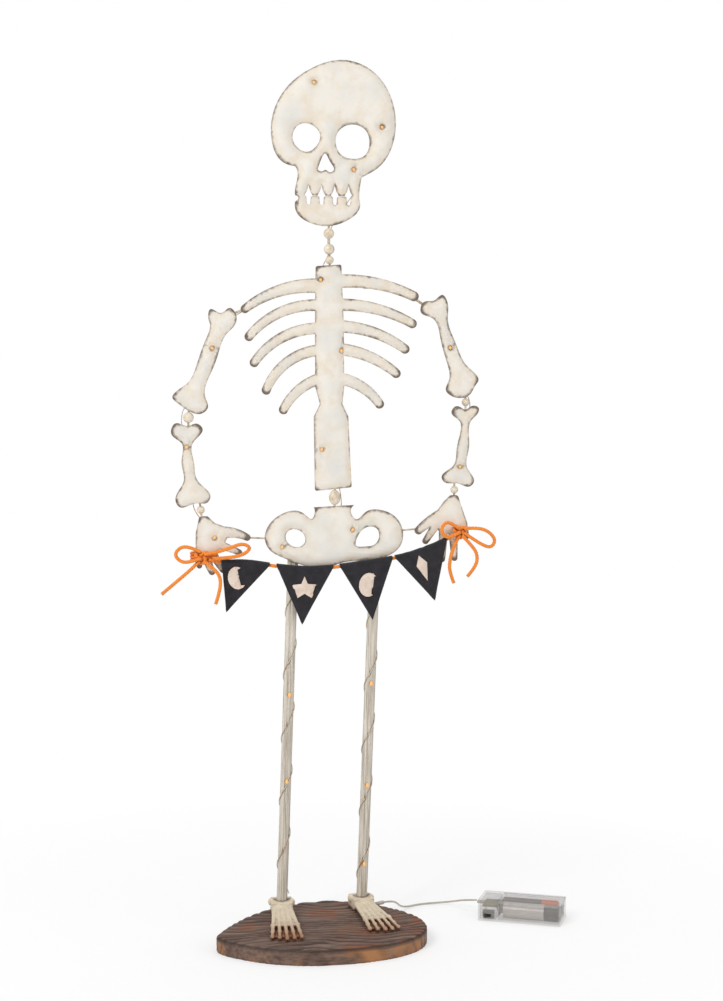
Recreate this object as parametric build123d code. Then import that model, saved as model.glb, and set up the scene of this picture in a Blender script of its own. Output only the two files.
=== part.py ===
from build123d import *
import math
import os

os.makedirs("parts", exist_ok=True)

# Standing sheet-metal skeleton on a carved wooden slab, with a string of micro lights, a felt
# bunting tied between the hands and a two-cell battery box on a short lead.
# Millimetres.  +X is the figure's right as seen from the front, -Y is the front, +Z is up.
# The origin is on the floor, under the middle of the slab.
# Outlines of the flat plates are (x, h) points, where h is the height over the hip line.

# Base and legs
BASE_THICKNESS = 14.0
BASE_EDGE_ROUND = 2.0
LEG_DIAMETER = 9.5
LEG_LENGTH = 308.7          # top of the slab to the hip line
LEG_OVERLAP = 11.0          # how far the rods reach up behind the pelvis
LEG_FLAT = 0.8              # flat filed on the rod where it meets the pelvis
LEG_GROOVES = 5
LEG_GROOVE_RADIUS = 0.8
LEFT_LEG_X = (-32.8, -22.1)     # at the slab, at the hip line
RIGHT_LEG_X = (39.1, 51.3)

# Feet
ANKLE_WIDTH = 20.0
ANKLE_LENGTH = 22.0
ANKLE_HEIGHT = 11.0
TOE_SPREAD = 31.0
SOCKET_CLEARANCE = 0.1
TOE_HEIGHT = 5.0
TOE_RADIUS = 3.2
LEFT_FOOT_LENGTH = 94.0
RIGHT_FOOT_LENGTH = 82.0
LEFT_FOOT_TURN = -7.0
RIGHT_FOOT_TURN = 5.0

# Plates, beads and pins
PLATE_THICKNESS = 2.0
FIGURE_Y = 35.0
BEAD_DIAMETER = 9.3
SMALL_BEAD_DIAMETER = 7.0
WAIST_BEAD_WIDTH = 10.2
WAIST_BEAD_HEIGHT = 13.2
PIN_RADIUS = 0.9
LED_HOLE_RADIUS = 1.5
LED_RADIUS = 1.3
LED_STANDS_OUT = 0.9
LIGHT_WIRE_RADIUS = 0.4
WIRE_CLEARANCE = 0.1

# Screws that hold the legs down
SCREW_RADIUS = 2.0
SCREW_HEAD_RADIUS = 4.2
SCREW_HEAD_HEIGHT = 2.6
SCREW_LENGTH = 34.0
WASHER_RADIUS = 5.5
WASHER_THICKNESS = 1.0
COUNTERBORE_DEPTH = 5.0
BORE_CLEARANCE = 0.3

# Bunting
TWINE_RADIUS = 1.4
FELT_THICKNESS = 1.4
MOTIF_THICKNESS = 0.6
KNOT_DEPTH = 9.0
SOFT_GAP = 0.3

# Battery box, in its own frame: x along it, y across it, z up
CELL_DIAMETER = 14.5
CELL_LENGTH = 50.5
CELL_NUB_LENGTH = 1.0
CELL_NUB_RADIUS = 2.7
CELL_CLEARANCE = 0.4
BOX_WALL = 1.5
CONTACT_THICKNESS = 0.5
CONTACT_WIDTH = 10.0
SPRING_LENGTH = 4.0
SPRING_WIRE_RADIUS = 0.35
SPRING_RADIUS = 3.4
ELECTRONICS_LENGTH = 15.0
COVER_THICKNESS = 1.4
COVER_LIP = 0.8
SLIDE_CLEARANCE = 0.1
SWITCH_TRAVEL = 3.0
KNOB_LENGTH = 3.0
KNOB_HEIGHT = 2.6
KNOB_STANDS_OUT = 1.0
BOX_CENTRE = (184.8, 28.1)
BOX_TURN = -26.0

# Lead to the battery box
LEAD_RADIUS = 0.85
SLEEVE_RADIUS = 1.7
SLEEVE_LENGTH = 12.0

HIP_Z = BASE_THICKNESS + LEG_LENGTH
PLATE_BACK = FIGURE_Y + PLATE_THICKNESS / 2
PLATE_FRONT = FIGURE_Y - PLATE_THICKNESS / 2
LEG_Y = PLATE_BACK + LEG_DIAMETER / 2 - LEG_FLAT
BUNTING_Y = PLATE_FRONT - SOFT_GAP - KNOT_DEPTH / 2

saved = {}


def save(name, solids):
    """Write one named sub-part, as one solid or as a group of separate solids."""
    group = solids if isinstance(solids, list) else [solids]
    singles = [one for item in group for one in item.solids()]
    shape = singles[0] if len(singles) == 1 else Compound(children=singles)
    shape.label = name
    saved[name] = singles
    export_step(shape, f"parts/{name}.step")


def outline(*runs):
    """A closed face from runs of points: two points make a line, more make a smooth curve."""
    edges = [Line(*run) if len(run) == 2 else Spline(*run) for run in runs]
    return make_face(Wire(edges) if len(edges) > 1 else edges[0])


def smooth_outline(points):
    """A closed face inside one smooth curve through the points."""
    return make_face(Spline(*points, periodic=True))


def rounded_polygon(points, radius):
    """A closed face with straight sides and equally rounded corners."""
    return fillet(make_face(Polyline(*points, close=True)).vertices(), radius)


def strip(start, middle, end, start_width, end_width):
    """A curved strip with a rounded far end, such as a rib or a finger."""
    across_start = Vector(middle[1] - start[1], start[0] - middle[0]).normalized()
    across_end = Vector(end[1] - middle[1], middle[0] - end[0]).normalized()
    across_middle = (across_start + across_end).normalized()
    middle_width = (start_width + end_width) / 2
    root, bend, tip = Vector(*start), Vector(*middle), Vector(*end)
    upper = ThreePointArc(root - across_start * (start_width / 2),
                          bend - across_middle * (middle_width / 2),
                          tip - across_end * (end_width / 2))
    lower = ThreePointArc(tip + across_end * (end_width / 2),
                          bend + across_middle * (middle_width / 2),
                          root + across_start * (start_width / 2))
    along = Vector(end[0] - middle[0], end[1] - middle[1]).normalized()
    nose = ThreePointArc(tip - across_end * (end_width / 2), tip + along * (end_width * 0.42),
                         tip + across_end * (end_width / 2))
    heel = Line(root + across_start * (start_width / 2), root - across_start * (start_width / 2))
    return make_face([upper, nose, lower, heel])


def upright(face, thickness, y):
    """Stand a flat face up as a plate centred on the plane y, with h measured from the hip."""
    return Pos(0, y, HIP_Z) * extrude(Plane.XZ * face, amount=thickness / 2, both=True)


def led_holes(places):
    """Round holes that the micro lights look through."""
    return [Pos(x, h) * Circle(LED_HOLE_RADIUS) for x, h in places]


def ellipsoid(width, depth, height):
    """A bead or knot of three diameters, made by scaling a ball."""
    return scale(Sphere(0.5), by=(width, depth, height))


def cord_path(points, name):
    """Straight runs joined by tangent arcs that are as large as the runs beside them allow."""
    corners = [Vector(*point) for point in points]
    radii = []
    for before, corner, after in zip(corners, corners[1:], corners[2:]):
        turn = math.radians((corner - before).get_angle(after - corner))
        shorter = min((corner - before).length, (after - corner).length)
        radii.append(0.45 * shorter / math.tan(turn / 2))
    print(name, "arc radii", [round(radius, 1) for radius in radii])
    return FilletPolyline(*corners, radius=radii)


def cord_tube(points, radius, name):
    """A round cord along a path; its volume is compared with its section times its length."""
    path = cord_path(points, name)
    tube = sweep(Plane(path @ 0, z_dir=path % 0) * Circle(radius), path=path)
    expected = math.pi * radius**2 * path.length
    print(name, "length", round(path.length, 1), "volume ratio", round(tube.volume / expected, 4))
    return tube


def between(start, end, radius):
    """A straight round pin between two points."""
    direction = Vector(*end) - Vector(*start)
    place = Plane(Vector(*start), z_dir=direction)
    return extrude(place * Circle(radius), amount=direction.length)


# Base slab: a flat pointed oval of wood, hollowed below only for the two screws
SLAB_OUTLINE = [(-95, -14), (-72, 24), (-30, 60), (14, 69), (60, 43), (87, -3),
                (80, -38), (16, -71), (-40, -66), (-80, -42)]

leg_feet = {"left": LEFT_LEG_X[0], "right": RIGHT_LEG_X[0]}
slab = extrude(smooth_outline(SLAB_OUTLINE), amount=BASE_THICKNESS)
slab = chamfer(slab.faces().sort_by(Axis.Z)[-1].edges(), BASE_EDGE_ROUND)
screws = []
washers = []
for x in leg_feet.values():
    bore = Pos(x, LEG_Y, 0) * Cylinder(SCREW_RADIUS + BORE_CLEARANCE, BASE_THICKNESS,
                                       align=(Align.CENTER, Align.CENTER, Align.MIN))
    counterbore = Pos(x, LEG_Y, 0) * Cylinder(WASHER_RADIUS + BORE_CLEARANCE, COUNTERBORE_DEPTH,
                                              align=(Align.CENTER, Align.CENTER, Align.MIN))
    slab = slab - bore - counterbore
    ring = Cylinder(WASHER_RADIUS, WASHER_THICKNESS) - Cylinder(SCREW_RADIUS + BORE_CLEARANCE,
                                                                WASHER_THICKNESS)
    washer_z = COUNTERBORE_DEPTH - WASHER_THICKNESS
    washers.append(Pos(x, LEG_Y, washer_z + WASHER_THICKNESS / 2) * ring)
    head = Pos(x, LEG_Y, washer_z - SCREW_HEAD_HEIGHT) * Cylinder(
        SCREW_HEAD_RADIUS, SCREW_HEAD_HEIGHT, align=(Align.CENTER, Align.CENTER, Align.MIN))
    shank = Pos(x, LEG_Y, washer_z) * Cylinder(
        SCREW_RADIUS, SCREW_LENGTH, align=(Align.CENTER, Align.CENTER, Align.MIN))
    drive = Pos(x, LEG_Y, washer_z - SCREW_HEAD_HEIGHT) * (Box(5, 1, 2.4) + Box(1, 5, 2.4))
    screws.append(head + shank - drive)
save("base_slab", slab)
save("base_screws", screws)
save("base_washers", washers)


# Plates of the figure: each is cut from one sheet
SKULL_TOP = [(38.5, 339.4), (41.5, 341), (53, 348), (64, 363), (68.8, 388), (63, 413),
             (46, 433), (22, 440.2), (-4, 433), (-29, 413), (-40.3, 387), (-40.5, 372),
             (-36, 357), (-20, 348)]
SKULL_JAW = [(-20, 348), (-18.2, 345), (-19, 333), (-19.8, 323)]
SKULL_NOTCH = [(-19.8, 323), (-17, 321.4), (-20, 317.5)]
SKULL_CHIN = [(-20, 317.5), (-17.5, 306.5), (-3.8, 298.4), (9.5, 296.9), (27, 302.6),
              (35.8, 310.6), (36.2, 321)]
SKULL_RIGHT = [(36.2, 321), (36.8, 330), (38.5, 339.4)]
TEETH_X = (-8.2, 3.2, 14.9, 27.1)
TEETH_H = 322.8
TOOTH_GAP_WIDTH = 7.2
TOOTH_GAP_HEIGHT = 18.0
BITE_HEIGHT = 0.7
SKULL_LEDS = [(-3.3, 420.2), (56.7, 383.4), (31.6, 346.1)]

skull = outline(SKULL_TOP, SKULL_JAW, SKULL_NOTCH, SKULL_CHIN, SKULL_RIGHT)
left_eye = Pos(-11.1, 373.6) * Rot(0, 0, -38) * smooth_outline(
    [(-11, 0), (-7, 9.2), (1, 12.2), (9, 9.8), (12.6, 0), (9, -9.8), (1, -12), (-7, -9)])
right_eye = Pos(30.5, 370.3) * smooth_outline(
    [(-15, -1), (-11, 10), (0, 14.9), (11.5, 10.5), (15.2, -1), (11, -11.5), (0, -15), (-11, -11)])
nose = Pos(6.5, 345) * smooth_outline(
    [(-6.8, 0.6), (-4, 8.5), (0, 14.6), (4.2, 8), (7.4, 0), (3.6, -1.6), (0, 0.2), (-3.6, -1.2)])
half_gap = TOOTH_GAP_WIDTH / 2
gap_right = [(0, TOOTH_GAP_HEIGHT * 0.55), (half_gap * 0.42, TOOTH_GAP_HEIGHT * 0.22),
             (half_gap, 0.6), (half_gap * 0.55, -1.4), (half_gap * 0.45, -TOOTH_GAP_HEIGHT * 0.38),
             (0, -TOOTH_GAP_HEIGHT * 0.45)]
gap_left = [(-x, h) for x, h in gap_right[-2:0:-1]]
tooth_gap = make_face(Polyline(*gap_right, *gap_left, close=True))
bite = Pos((TEETH_X[0] + TEETH_X[-1]) / 2, TEETH_H) * Rectangle(TEETH_X[-1] - TEETH_X[0], BITE_HEIGHT)
cuts = [left_eye, right_eye, nose, bite] + led_holes(SKULL_LEDS)
cuts += [Pos(x, TEETH_H) * tooth_gap for x in TEETH_X]
for cut in cuts:
    skull = skull - cut
skull_plate = upright(skull, PLATE_THICKNESS, FIGURE_Y)
save("skull_plate", skull_plate)

# Rib plate: one spine with five ribs each side
SPINE = [(-2, 262), (20.5, 263.6), (22.5, 215), (23, 157), (21.3, 142), (26.6, 131), (29.6, 68.8),
         (-2.9, 65.8), (-3.8, 131), (1.6, 142), (-2.5, 157), (-2.6, 215)]
RIBS = [((1, 244.8), (-36, 239.6), (-64.5, 224), 13, 7.5),
        ((1, 228), (-35, 220.7), (-61, 200), 10.5, 8),
        ((1, 208), (-33, 199.1), (-56.5, 177.5), 10.5, 8),
        ((1, 189), (-27, 178.4), (-46, 153.5), 10.5, 8),
        ((3, 164.5), (-16, 155), (-31, 136.5), 10.5, 8),
        ((18, 249), (54, 247), (86, 236.5), 12, 8.5),
        ((18, 228.6), (56, 224.2), (84.5, 212.5), 11, 8),
        ((18, 209.8), (54, 203), (78, 190), 11, 8),
        ((18, 190), (50, 181.5), (70, 168.5), 11, 8),
        ((18, 164.5), (41, 155.5), (55, 141.5), 11, 8)]
RIB_LEDS = [(2.2, 250.1), (20.6, 188.4), (3.1, 102.1)]
spine = make_face(Polyline(*SPINE, close=True))
spine = fillet(spine.vertices(), 1.6)
for rib in RIBS:
    spine = spine + strip(*rib)
for hole in led_holes(RIB_LEDS):
    spine = spine - hole
rib_plate = upright(spine, PLATE_THICKNESS, FIGURE_Y)
save("rib_plate", rib_plate)

# Pelvis
PELVIS_SACRUM = [(-4, 51.4), (31.8, 53.1)]
PELVIS_RIGHT = [(31.8, 53.1), (29.6, 44.5), (33.9, 40.5), (42, 46.5), (52.8, 48.9), (68, 43),
                (75.6, 29.3), (73, 16), (65.3, 9.3), (42.7, 4.2), (14.3, 0)]
PELVIS_LEFT = [(14.3, 0), (-8.8, -0.7), (-31.8, 7.6), (-43, 14.4), (-47.3, 25), (-40.5, 40),
               (-24.1, 48.4), (-13, 46), (-5.4, 41.3), (-3.4, 45), (-4, 51.4)]
PELVIS_LEDS = [(-32.2, 16.9), (30.5, 31.2)]
pelvis = outline(PELVIS_SACRUM, PELVIS_RIGHT, PELVIS_LEFT)
left_hip_hole = Pos(-20.3, 24.5) * Rot(0, 0, -28) * Ellipse(9.2, 7.5)
right_hip_hole = Pos(43.8, 25) * smooth_outline(
    [(-10.8, -6.5), (-8, 2), (0, 8.6), (8.5, 7), (10.6, 0), (7, -6.8), (-2, -8.8)])
for cut in [left_hip_hole, right_hip_hole] + led_holes(PELVIS_LEDS):
    pelvis = pelvis - cut
pelvis_plate = upright(pelvis, PLATE_THICKNESS, FIGURE_Y)
save("pelvis_plate", pelvis_plate)

# Arms
BONES = {
    "left_upper_arm": ([(-95.8, 219), (-93.5, 223.8), (-85, 220.5), (-77.5, 224.9), (-71.8, 219),
                        (-74.2, 208.5), (-80, 202.6), (-87.1, 186.5), (-92.2, 172.3), (-98.3, 158.2),
                        (-98.9, 148), (-96.6, 139), (-102.4, 133.5), (-113.2, 136), (-123.9, 143.6),
                        (-127.1, 147.5), (-124, 152.5), (-113.8, 160.2), (-106.5, 174.4),
                        (-99.4, 194.5), (-94.4, 211)], [(-92.7, 190)]),
    "left_forearm": ([(-128.1, 120.6), (-123.6, 125.4), (-113.6, 123), (-106.5, 125), (-101.4, 120.8),
                      (-109.7, 108.3), (-109, 92), (-105.3, 74.9), (-94.9, 60.8), (-97.5, 56.5),
                      (-107.8, 55.8), (-121.6, 52.8), (-124.8, 57.7), (-117.8, 74.9), (-119.5, 92),
                      (-119.7, 108.3)], [(-115.3, 104.6)]),
    "right_upper_arm": ([(91.5, 226), (96, 232.5), (104, 233.5), (110.9, 238.3), (115.4, 232.2),
                         (115.8, 217.6), (123.4, 195.1), (131.4, 178.2), (139.4, 170.4),
                         (144, 163.1), (141.6, 159.1), (135.9, 150.2), (121.2, 148.5), (114.6, 154.7),
                         (117.4, 163), (116.4, 176), (109.7, 199.6), (100.6, 218.6)],
                        [(118.2, 191.7)]),
    "right_forearm": ([(120.8, 137.6), (126, 140), (132.5, 137), (139, 140.5), (144.3, 138.5),
                       (142.5, 132.5), (138, 128.1), (135.5, 103.4), (134.2, 84.9), (140, 72.5),
                       (136.7, 68.8), (125, 71.5), (113, 73), (111, 76.8), (120.5, 86.1),
                       (124.8, 103.4), (126.1, 128.1), (121, 132)], [(127.5, 86.3)]),
}
bones = {}
for name, (points, leds) in BONES.items():
    face = smooth_outline(points)
    for hole in led_holes(leds):
        face = face - hole
    bones[name] = upright(face, PLATE_THICKNESS, FIGURE_Y)
    save(name, bones[name])

# Hands: a palm with a thumb and four fingers
HANDS = {
    "left_hand": ([(-104.5, 44.3), (-97.4, 44.7), (-91, 38.5), (-84, 36), (-78, 34), (-80, 26), (-84, 18),
                   (-92, 12), (-107.8, 12.5), (-107.6, 30)],
                  [((-90, 29), (-76, 30), (-62.5, 25.5), 12, 6), ((-92, 21), (-80, 17), (-69.5, 12.5), 8, 5.2),
                   ((-95, 17), (-89, 5), (-84, -3), 8, 5), ((-101, 17), (-97, 4), (-93.5, -4.5), 9, 5.4),
                   ((-105, 17), (-105.5, 8), (-104.5, 1), 6, 4.6)], [(-91.5, 25.8)]),
    "right_hand": ([(119, 61), (125.5, 61), (128.5, 52), (134.5, 35), (132, 27), (120, 25), (108, 29),
                    (104.5, 44), (113.5, 56)],
                   [((110, 43), (99, 37), (89.5, 29.5), 11, 7), ((109, 39), (102, 29), (96, 20), 8, 5.4),
                    ((112.5, 33), (112, 16), (111.3, 3.5), 8, 5.2),
                    ((121, 33), (122, 16), (122.6, 4.5), 8, 5.4),
                    ((130, 36), (132.5, 29), (133, 22.5), 6.5, 4.6)], []),
}
for name, (palm, fingers, leds) in HANDS.items():
    face = rounded_polygon(palm, 2.5)
    for finger in fingers:
        face = face + strip(*finger)
    for hole in led_holes(leds):
        face = face - hole
    bones[name] = upright(face, PLATE_THICKNESS, FIGURE_Y)
    save(name, bones[name])
all_plates = [skull_plate, rib_plate, pelvis_plate] + list(bones.values())


# Beads on pins: the pins are brazed to the edges of the two plates that they join
def bead_link(beads, bottom, top):
    """Bored beads on a straight pin that runs from plate edge to plate edge."""
    pin = between((bottom[0], FIGURE_Y, HIP_Z + bottom[1]), (top[0], FIGURE_Y, HIP_Z + top[1]),
                  PIN_RADIUS)
    balls = [Pos(x, FIGURE_Y, HIP_Z + h) * ellipsoid(width, width, height) - pin
             for x, h, width, height in beads]
    for plate in all_plates:
        pin = pin - plate
    return balls, pin.solids().sort_by(SortBy.VOLUME)[-1]


NECK_BEADS = [(9.6, 290.4), (9.9, 276.8), (10.2, 267.4)]
neck_beads, neck_pin = bead_link([(x, h, BEAD_DIAMETER * k, BEAD_DIAMETER * k) for (x, h), k
                                  in zip(NECK_BEADS, (1, 1, 0.78))], (10.3, 262), (9.5, 298))
waist_bead, waist_pin = bead_link([(14.6, 59.9, WAIST_BEAD_WIDTH, WAIST_BEAD_HEIGHT)],
                                  (14.4, 50), (14.8, 68.5))
left_elbow, left_elbow_pin = bead_link([(-113.4, 130.2, BEAD_DIAMETER, BEAD_DIAMETER)],
                                       (-113.6, 121), (-113.2, 137.5))
right_elbow, right_elbow_pin = bead_link([(132.4, 143.6, SMALL_BEAD_DIAMETER, SMALL_BEAD_DIAMETER)],
                                         (132.4, 135), (132.4, 152))
left_wrist, left_wrist_pin = bead_link([(-103.2, 50.1, SMALL_BEAD_DIAMETER, SMALL_BEAD_DIAMETER)],
                                       (-102.4, 43), (-104, 57))
right_wrist, right_wrist_pin = bead_link([(122.3, 65.9, SMALL_BEAD_DIAMETER, SMALL_BEAD_DIAMETER)],
                                         (122.2, 60), (122.4, 73))
save("neck_beads", neck_beads)
save("waist_bead", waist_bead)
save("spine_pins", [neck_pin, waist_pin])
save("elbow_beads", left_elbow + right_elbow)
save("elbow_pins", [left_elbow_pin, right_elbow_pin])
save("wrist_beads", left_wrist + right_wrist)
save("wrist_pins", [left_wrist_pin, right_wrist_pin])


def plate_link(name, start, end, radius):
    """A short brazed wire link that ends on the edges of two plates."""
    link = between((start[0], FIGURE_Y, HIP_Z + start[1]), (end[0], FIGURE_Y, HIP_Z + end[1]), radius)
    for plate in all_plates:
        link = link - plate
    middle = Vector((start[0] + end[0]) / 2, FIGURE_Y, HIP_Z + (start[1] + end[1]) / 2)
    return link.solids().sort_by(lambda one: (one.center() - middle).length)[0]


save("shoulder_links", [plate_link("left", (-77, 219), (-62, 225), 1.0),
                        plate_link("right", (84, 236.6), (99, 226), 1.0)])
save("hip_links", [plate_link("left", (-65, 25.6), (-43, 24.5), 0.8),
                   plate_link("right", (72, 30), (91, 31.5), 0.8)])


# Legs and feet
def leg(foot_x, hip_x):
    """A grooved rod that leans in the plane of the figure and is filed flat behind the pelvis."""
    lean = (hip_x - foot_x) / LEG_LENGTH
    top = Vector(foot_x + lean * (LEG_LENGTH + LEG_OVERLAP), LEG_Y, HIP_Z + LEG_OVERLAP)
    foot = Vector(foot_x, LEG_Y, BASE_THICKNESS)
    section = Circle(LEG_DIAMETER / 2)
    for groove in range(LEG_GROOVES):
        angle = 360 * (groove + 0.3) / LEG_GROOVES
        section = section - Rot(0, 0, angle) * Pos(LEG_DIAMETER / 2 + 0.25, 0) * Circle(LEG_GROOVE_RADIUS)
    below = (top - foot).normalized() * 4
    rod = extrude(Plane(foot - below, x_dir=(0, 1, 0), z_dir=top - foot) * section,
                  amount=(top - foot).length + 4)
    above_slab = Pos(foot_x, LEG_Y, BASE_THICKNESS) * Box(60, 60, 800,
                                                          align=(Align.CENTER, Align.CENTER, Align.MIN))
    return (rod & above_slab) - pelvis_plate


def foot(ankle_x, length, turn):
    """A wedge that fans out from the ankle block into five rounded toes."""
    reach = length - ANKLE_LENGTH / 2
    ankle = Box(ANKLE_WIDTH, ANKLE_LENGTH, ANKLE_HEIGHT, align=(Align.CENTER, Align.CENTER, Align.MIN))
    ankle = fillet(ankle.edges().filter_by(Axis.Z), 4)
    ankle = chamfer(ankle.faces().sort_by(Axis.Z)[-1].edges(), 1.5)
    plan = make_face(Polyline((-ANKLE_WIDTH / 2 + 1, 0), (-TOE_SPREAD / 2 + 2, -reach + 12),
                              (TOE_SPREAD / 2 - 2, -reach + 12), (ANKLE_WIDTH / 2 - 1, 0), close=True))
    side = make_face(Polyline((0, 0), (0, ANKLE_HEIGHT - 2), (-reach + 12, TOE_HEIGHT - 1),
                              (-reach + 12, 0), close=True))
    wedge = extrude(plan, amount=ANKLE_HEIGHT) & extrude(Plane.YZ * side, amount=TOE_SPREAD, both=True)
    body = ankle + wedge
    for toe in range(5):
        share = (toe - 2) / 2
        knuckle = (share * (ANKLE_WIDTH / 2 - 3), -6, ANKLE_HEIGHT - TOE_RADIUS - 1)
        tip = (share * (TOE_SPREAD / 2 - TOE_RADIUS), -reach + 5 + abs(share - 0.2) * 5, TOE_RADIUS)
        body = body + between(knuckle, tip, TOE_RADIUS) + Pos(*tip) * Sphere(TOE_RADIUS)
    body = body & Pos(0, 0, 0) * Box(80, 260, 60, align=(Align.CENTER, Align.CENTER, Align.MIN))
    return Pos(ankle_x, LEG_Y, BASE_THICKNESS) * Rot(0, 0, turn) * body


legs = {"left": leg(*LEFT_LEG_X), "right": leg(*RIGHT_LEG_X)}
feet = {"left": foot(LEFT_LEG_X[0], LEFT_FOOT_LENGTH, LEFT_FOOT_TURN),
        "right": foot(RIGHT_LEG_X[0], RIGHT_FOOT_LENGTH, RIGHT_FOOT_TURN)}
leg_lines = {"left": LEFT_LEG_X, "right": RIGHT_LEG_X}
LEG_LED_HEIGHTS = {"left": (195.0, 118.0), "right": (203.0, 112.0, 41.0)}
WIRE_TURNS = 5
WIRE_SIDES = 6
WIRE_START_ABOVE_FOOT = 16.0
WIRE_END_BELOW_HIP = 12.0
leg_leds = []
for index, (side, (foot_x, hip_x)) in enumerate(leg_lines.items()):
    legs[side] = legs[side] - screws[index]
    lean = (hip_x - foot_x) / LEG_LENGTH
    feet[side] = feet[side] - between((foot_x - lean * 4, LEG_Y, BASE_THICKNESS - 4),
                                      (foot_x + lean * 40, LEG_Y, BASE_THICKNESS + 40),
                                      LEG_DIAMETER / 2 + SOCKET_CLEARANCE)
    save(f"{side}_leg", legs[side])
    save(f"{side}_foot", feet[side])
    hug = (LEG_DIAMETER / 2 + LIGHT_WIRE_RADIUS + WIRE_CLEARANCE) / math.cos(math.pi / WIRE_SIDES)
    rise = LEG_LENGTH - WIRE_START_ABOVE_FOOT - WIRE_END_BELOW_HIP
    wire_points = []
    for step in range(WIRE_TURNS * WIRE_SIDES + 1):
        height = WIRE_START_ABOVE_FOOT + rise * step / (WIRE_TURNS * WIRE_SIDES)
        angle = 2 * math.pi * step / WIRE_SIDES + index * 1.3
        wire_points.append((foot_x + lean * height + hug * math.cos(angle),
                            LEG_Y + hug * math.sin(angle), BASE_THICKNESS + height))
    wire = cord_tube(wire_points, LIGHT_WIRE_RADIUS, f"{side}_leg_wire")
    save(f"{side}_leg_wire", wire)
    for height in LEG_LED_HEIGHTS[side]:
        front = (foot_x + lean * height, LEG_Y - LEG_DIAMETER / 2 - LED_RADIUS - WIRE_CLEARANCE,
                 BASE_THICKNESS + height)
        leg_leds.append(Pos(*front) * ellipsoid(2 * LED_RADIUS, 2 * LED_RADIUS, 4.2) - wire)
save("leg_leds", leg_leds)

# Plate lights: small clear domes that fill the holes from behind
WIRE_Y = PLATE_BACK + WIRE_CLEARANCE + LIGHT_WIRE_RADIUS
plate_led_places = SKULL_LEDS + RIB_LEDS + PELVIS_LEDS
plate_led_places += [place for _, leds in BONES.values() for place in leds]
plate_led_places += [place for _, _, leds in HANDS.values() for place in leds]
plate_leds = []
for x, h in plate_led_places:
    dome_y = PLATE_FRONT - LED_STANDS_OUT + LED_RADIUS
    dome = Pos(x, dome_y, HIP_Z + h) * Sphere(LED_RADIUS)
    stem = between((x, dome_y, HIP_Z + h), (x, PLATE_BACK + WIRE_CLEARANCE, HIP_Z + h), LED_RADIUS)
    plate_leds.append(dome + stem)
save("plate_leds", plate_leds)

# Light wire along the backs of the plates; d is how far it stands off behind a bead
BEAD_STANDOFF = BEAD_DIAMETER / 2 - PLATE_THICKNESS / 2 + WIRE_CLEARANCE
BACK_WIRES = {
    "torso_wire": [(-32.2, 16.9, 0), (-22, 14.6, 0), (-4, 9, 0), (18, 12, 0), (30.5, 31.2, 0), (20, 44, 0),
                   (21, 56, 0), (19, 70, 0), (3.1, 102.1, 0), (6, 130, 0), (16, 158, 0),
                   (20.6, 188.4, 0), (14, 220, 0), (2.2, 250.1, 0), (4, 262, 1.5), (11, 273, 5),
                   (9, 287, 5), (14, 300, 1.5), (22, 312, 0), (35, 330, 0), (31.6, 346.1, 0),
                   (49, 354, 0), (56.7, 383.4, 0), (42, 408, 0), (18, 421, 0), (-3.3, 420.2, 0)],
    "left_arm_wire": [(-3, 247, 0), (-20, 243, 0), (-44, 236, 0), (-64, 223, 0), (-84, 212, 0),
                      (-92.7, 190, 0), (-99, 168, 0), (-109, 149, 0), (-118.5, 136, 1.5),
                      (-119.5, 126, 1.5), (-115.3, 104.6, 0), (-113, 84, 0), (-110, 64, 0),
                      (-109.5, 51, 1.5), (-101, 39, 0), (-91.5, 25.8, 0)],
    "right_arm_wire": [(12, 246, 0), (32, 248, 0), (56, 245, 0), (82, 237, 0), (104, 222, 0),
                       (118.2, 191.7, 0), (124, 170, 0), (130, 156, 0), (137.5, 145, 1),
                       (136, 132, 0), (130, 110, 0), (127.5, 86.3, 0), (125, 74, 0)],
}
back_wires = {}
for name, points in BACK_WIRES.items():
    route = [(x, WIRE_Y + standoff, HIP_Z + h) for x, h, standoff in points]
    back_wires[name] = cord_tube(route, LIGHT_WIRE_RADIUS, name)
    save(name, back_wires[name])

# Glue tabs that hold the wire to the backs of the plates
TAB_PLACES = [("torso_wire", 13, 98), ("torso_wire", 13, 145), ("torso_wire", 13, 205),
              ("torso_wire", 50, 395), ("left_arm_wire", -32, 239.5), ("left_arm_wire", -96, 178),
              ("left_arm_wire", -114.2, 95), ("right_arm_wire", 44, 246.5),
              ("right_arm_wire", 121, 181), ("right_arm_wire", 129, 100)]
TAB_SIZE = 7.0
TAB_HEIGHT = 1.6
tabs = []
for wire_name, x, h in TAB_PLACES:
    tab = Pos(x, PLATE_BACK + TAB_HEIGHT / 2, HIP_Z + h) * Box(TAB_SIZE, TAB_HEIGHT, TAB_SIZE)
    tabs.append(tab - back_wires[wire_name])
save("wire_tabs", tabs)

# Bunting: twine between two knots, four felt pennants under it
STRING_ROUTE = [(-97, 7.2), (-86, 4.2), (-66, 5), (-44, 1.5), (-36, 0.2), (-13, -2.4), (12, -1.2),
                (18, -0.6), (42, 2.5), (65, 5.6), (82, 9.4), (100, 15.6), (114, 21.8), (124, 27.4)]
string = cord_tube([(x, BUNTING_Y, HIP_Z + h) for x, h in STRING_ROUTE], TWINE_RADIUS,
                   "bunting_string")
save("bunting_string", string)
PENNANTS = [[(-86, 4.2), (-66, 5), (-44, 1.5), (-81.7, -38.7)],
            [(-37.7, 0.5), (-13, -2.4), (12, -1.2), (-15.4, -50.9)],
            [(18, -0.6), (42, 2.5), (65, 5.6), (47.6, -48.2)],
            [(67.4, 6.2), (88, 11.2), (114, 21.8), (103.5, -31.9)]]
MOTIF_SIZE = 6.0
HANG = TWINE_RADIUS + SOFT_GAP + 0.6
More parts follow.
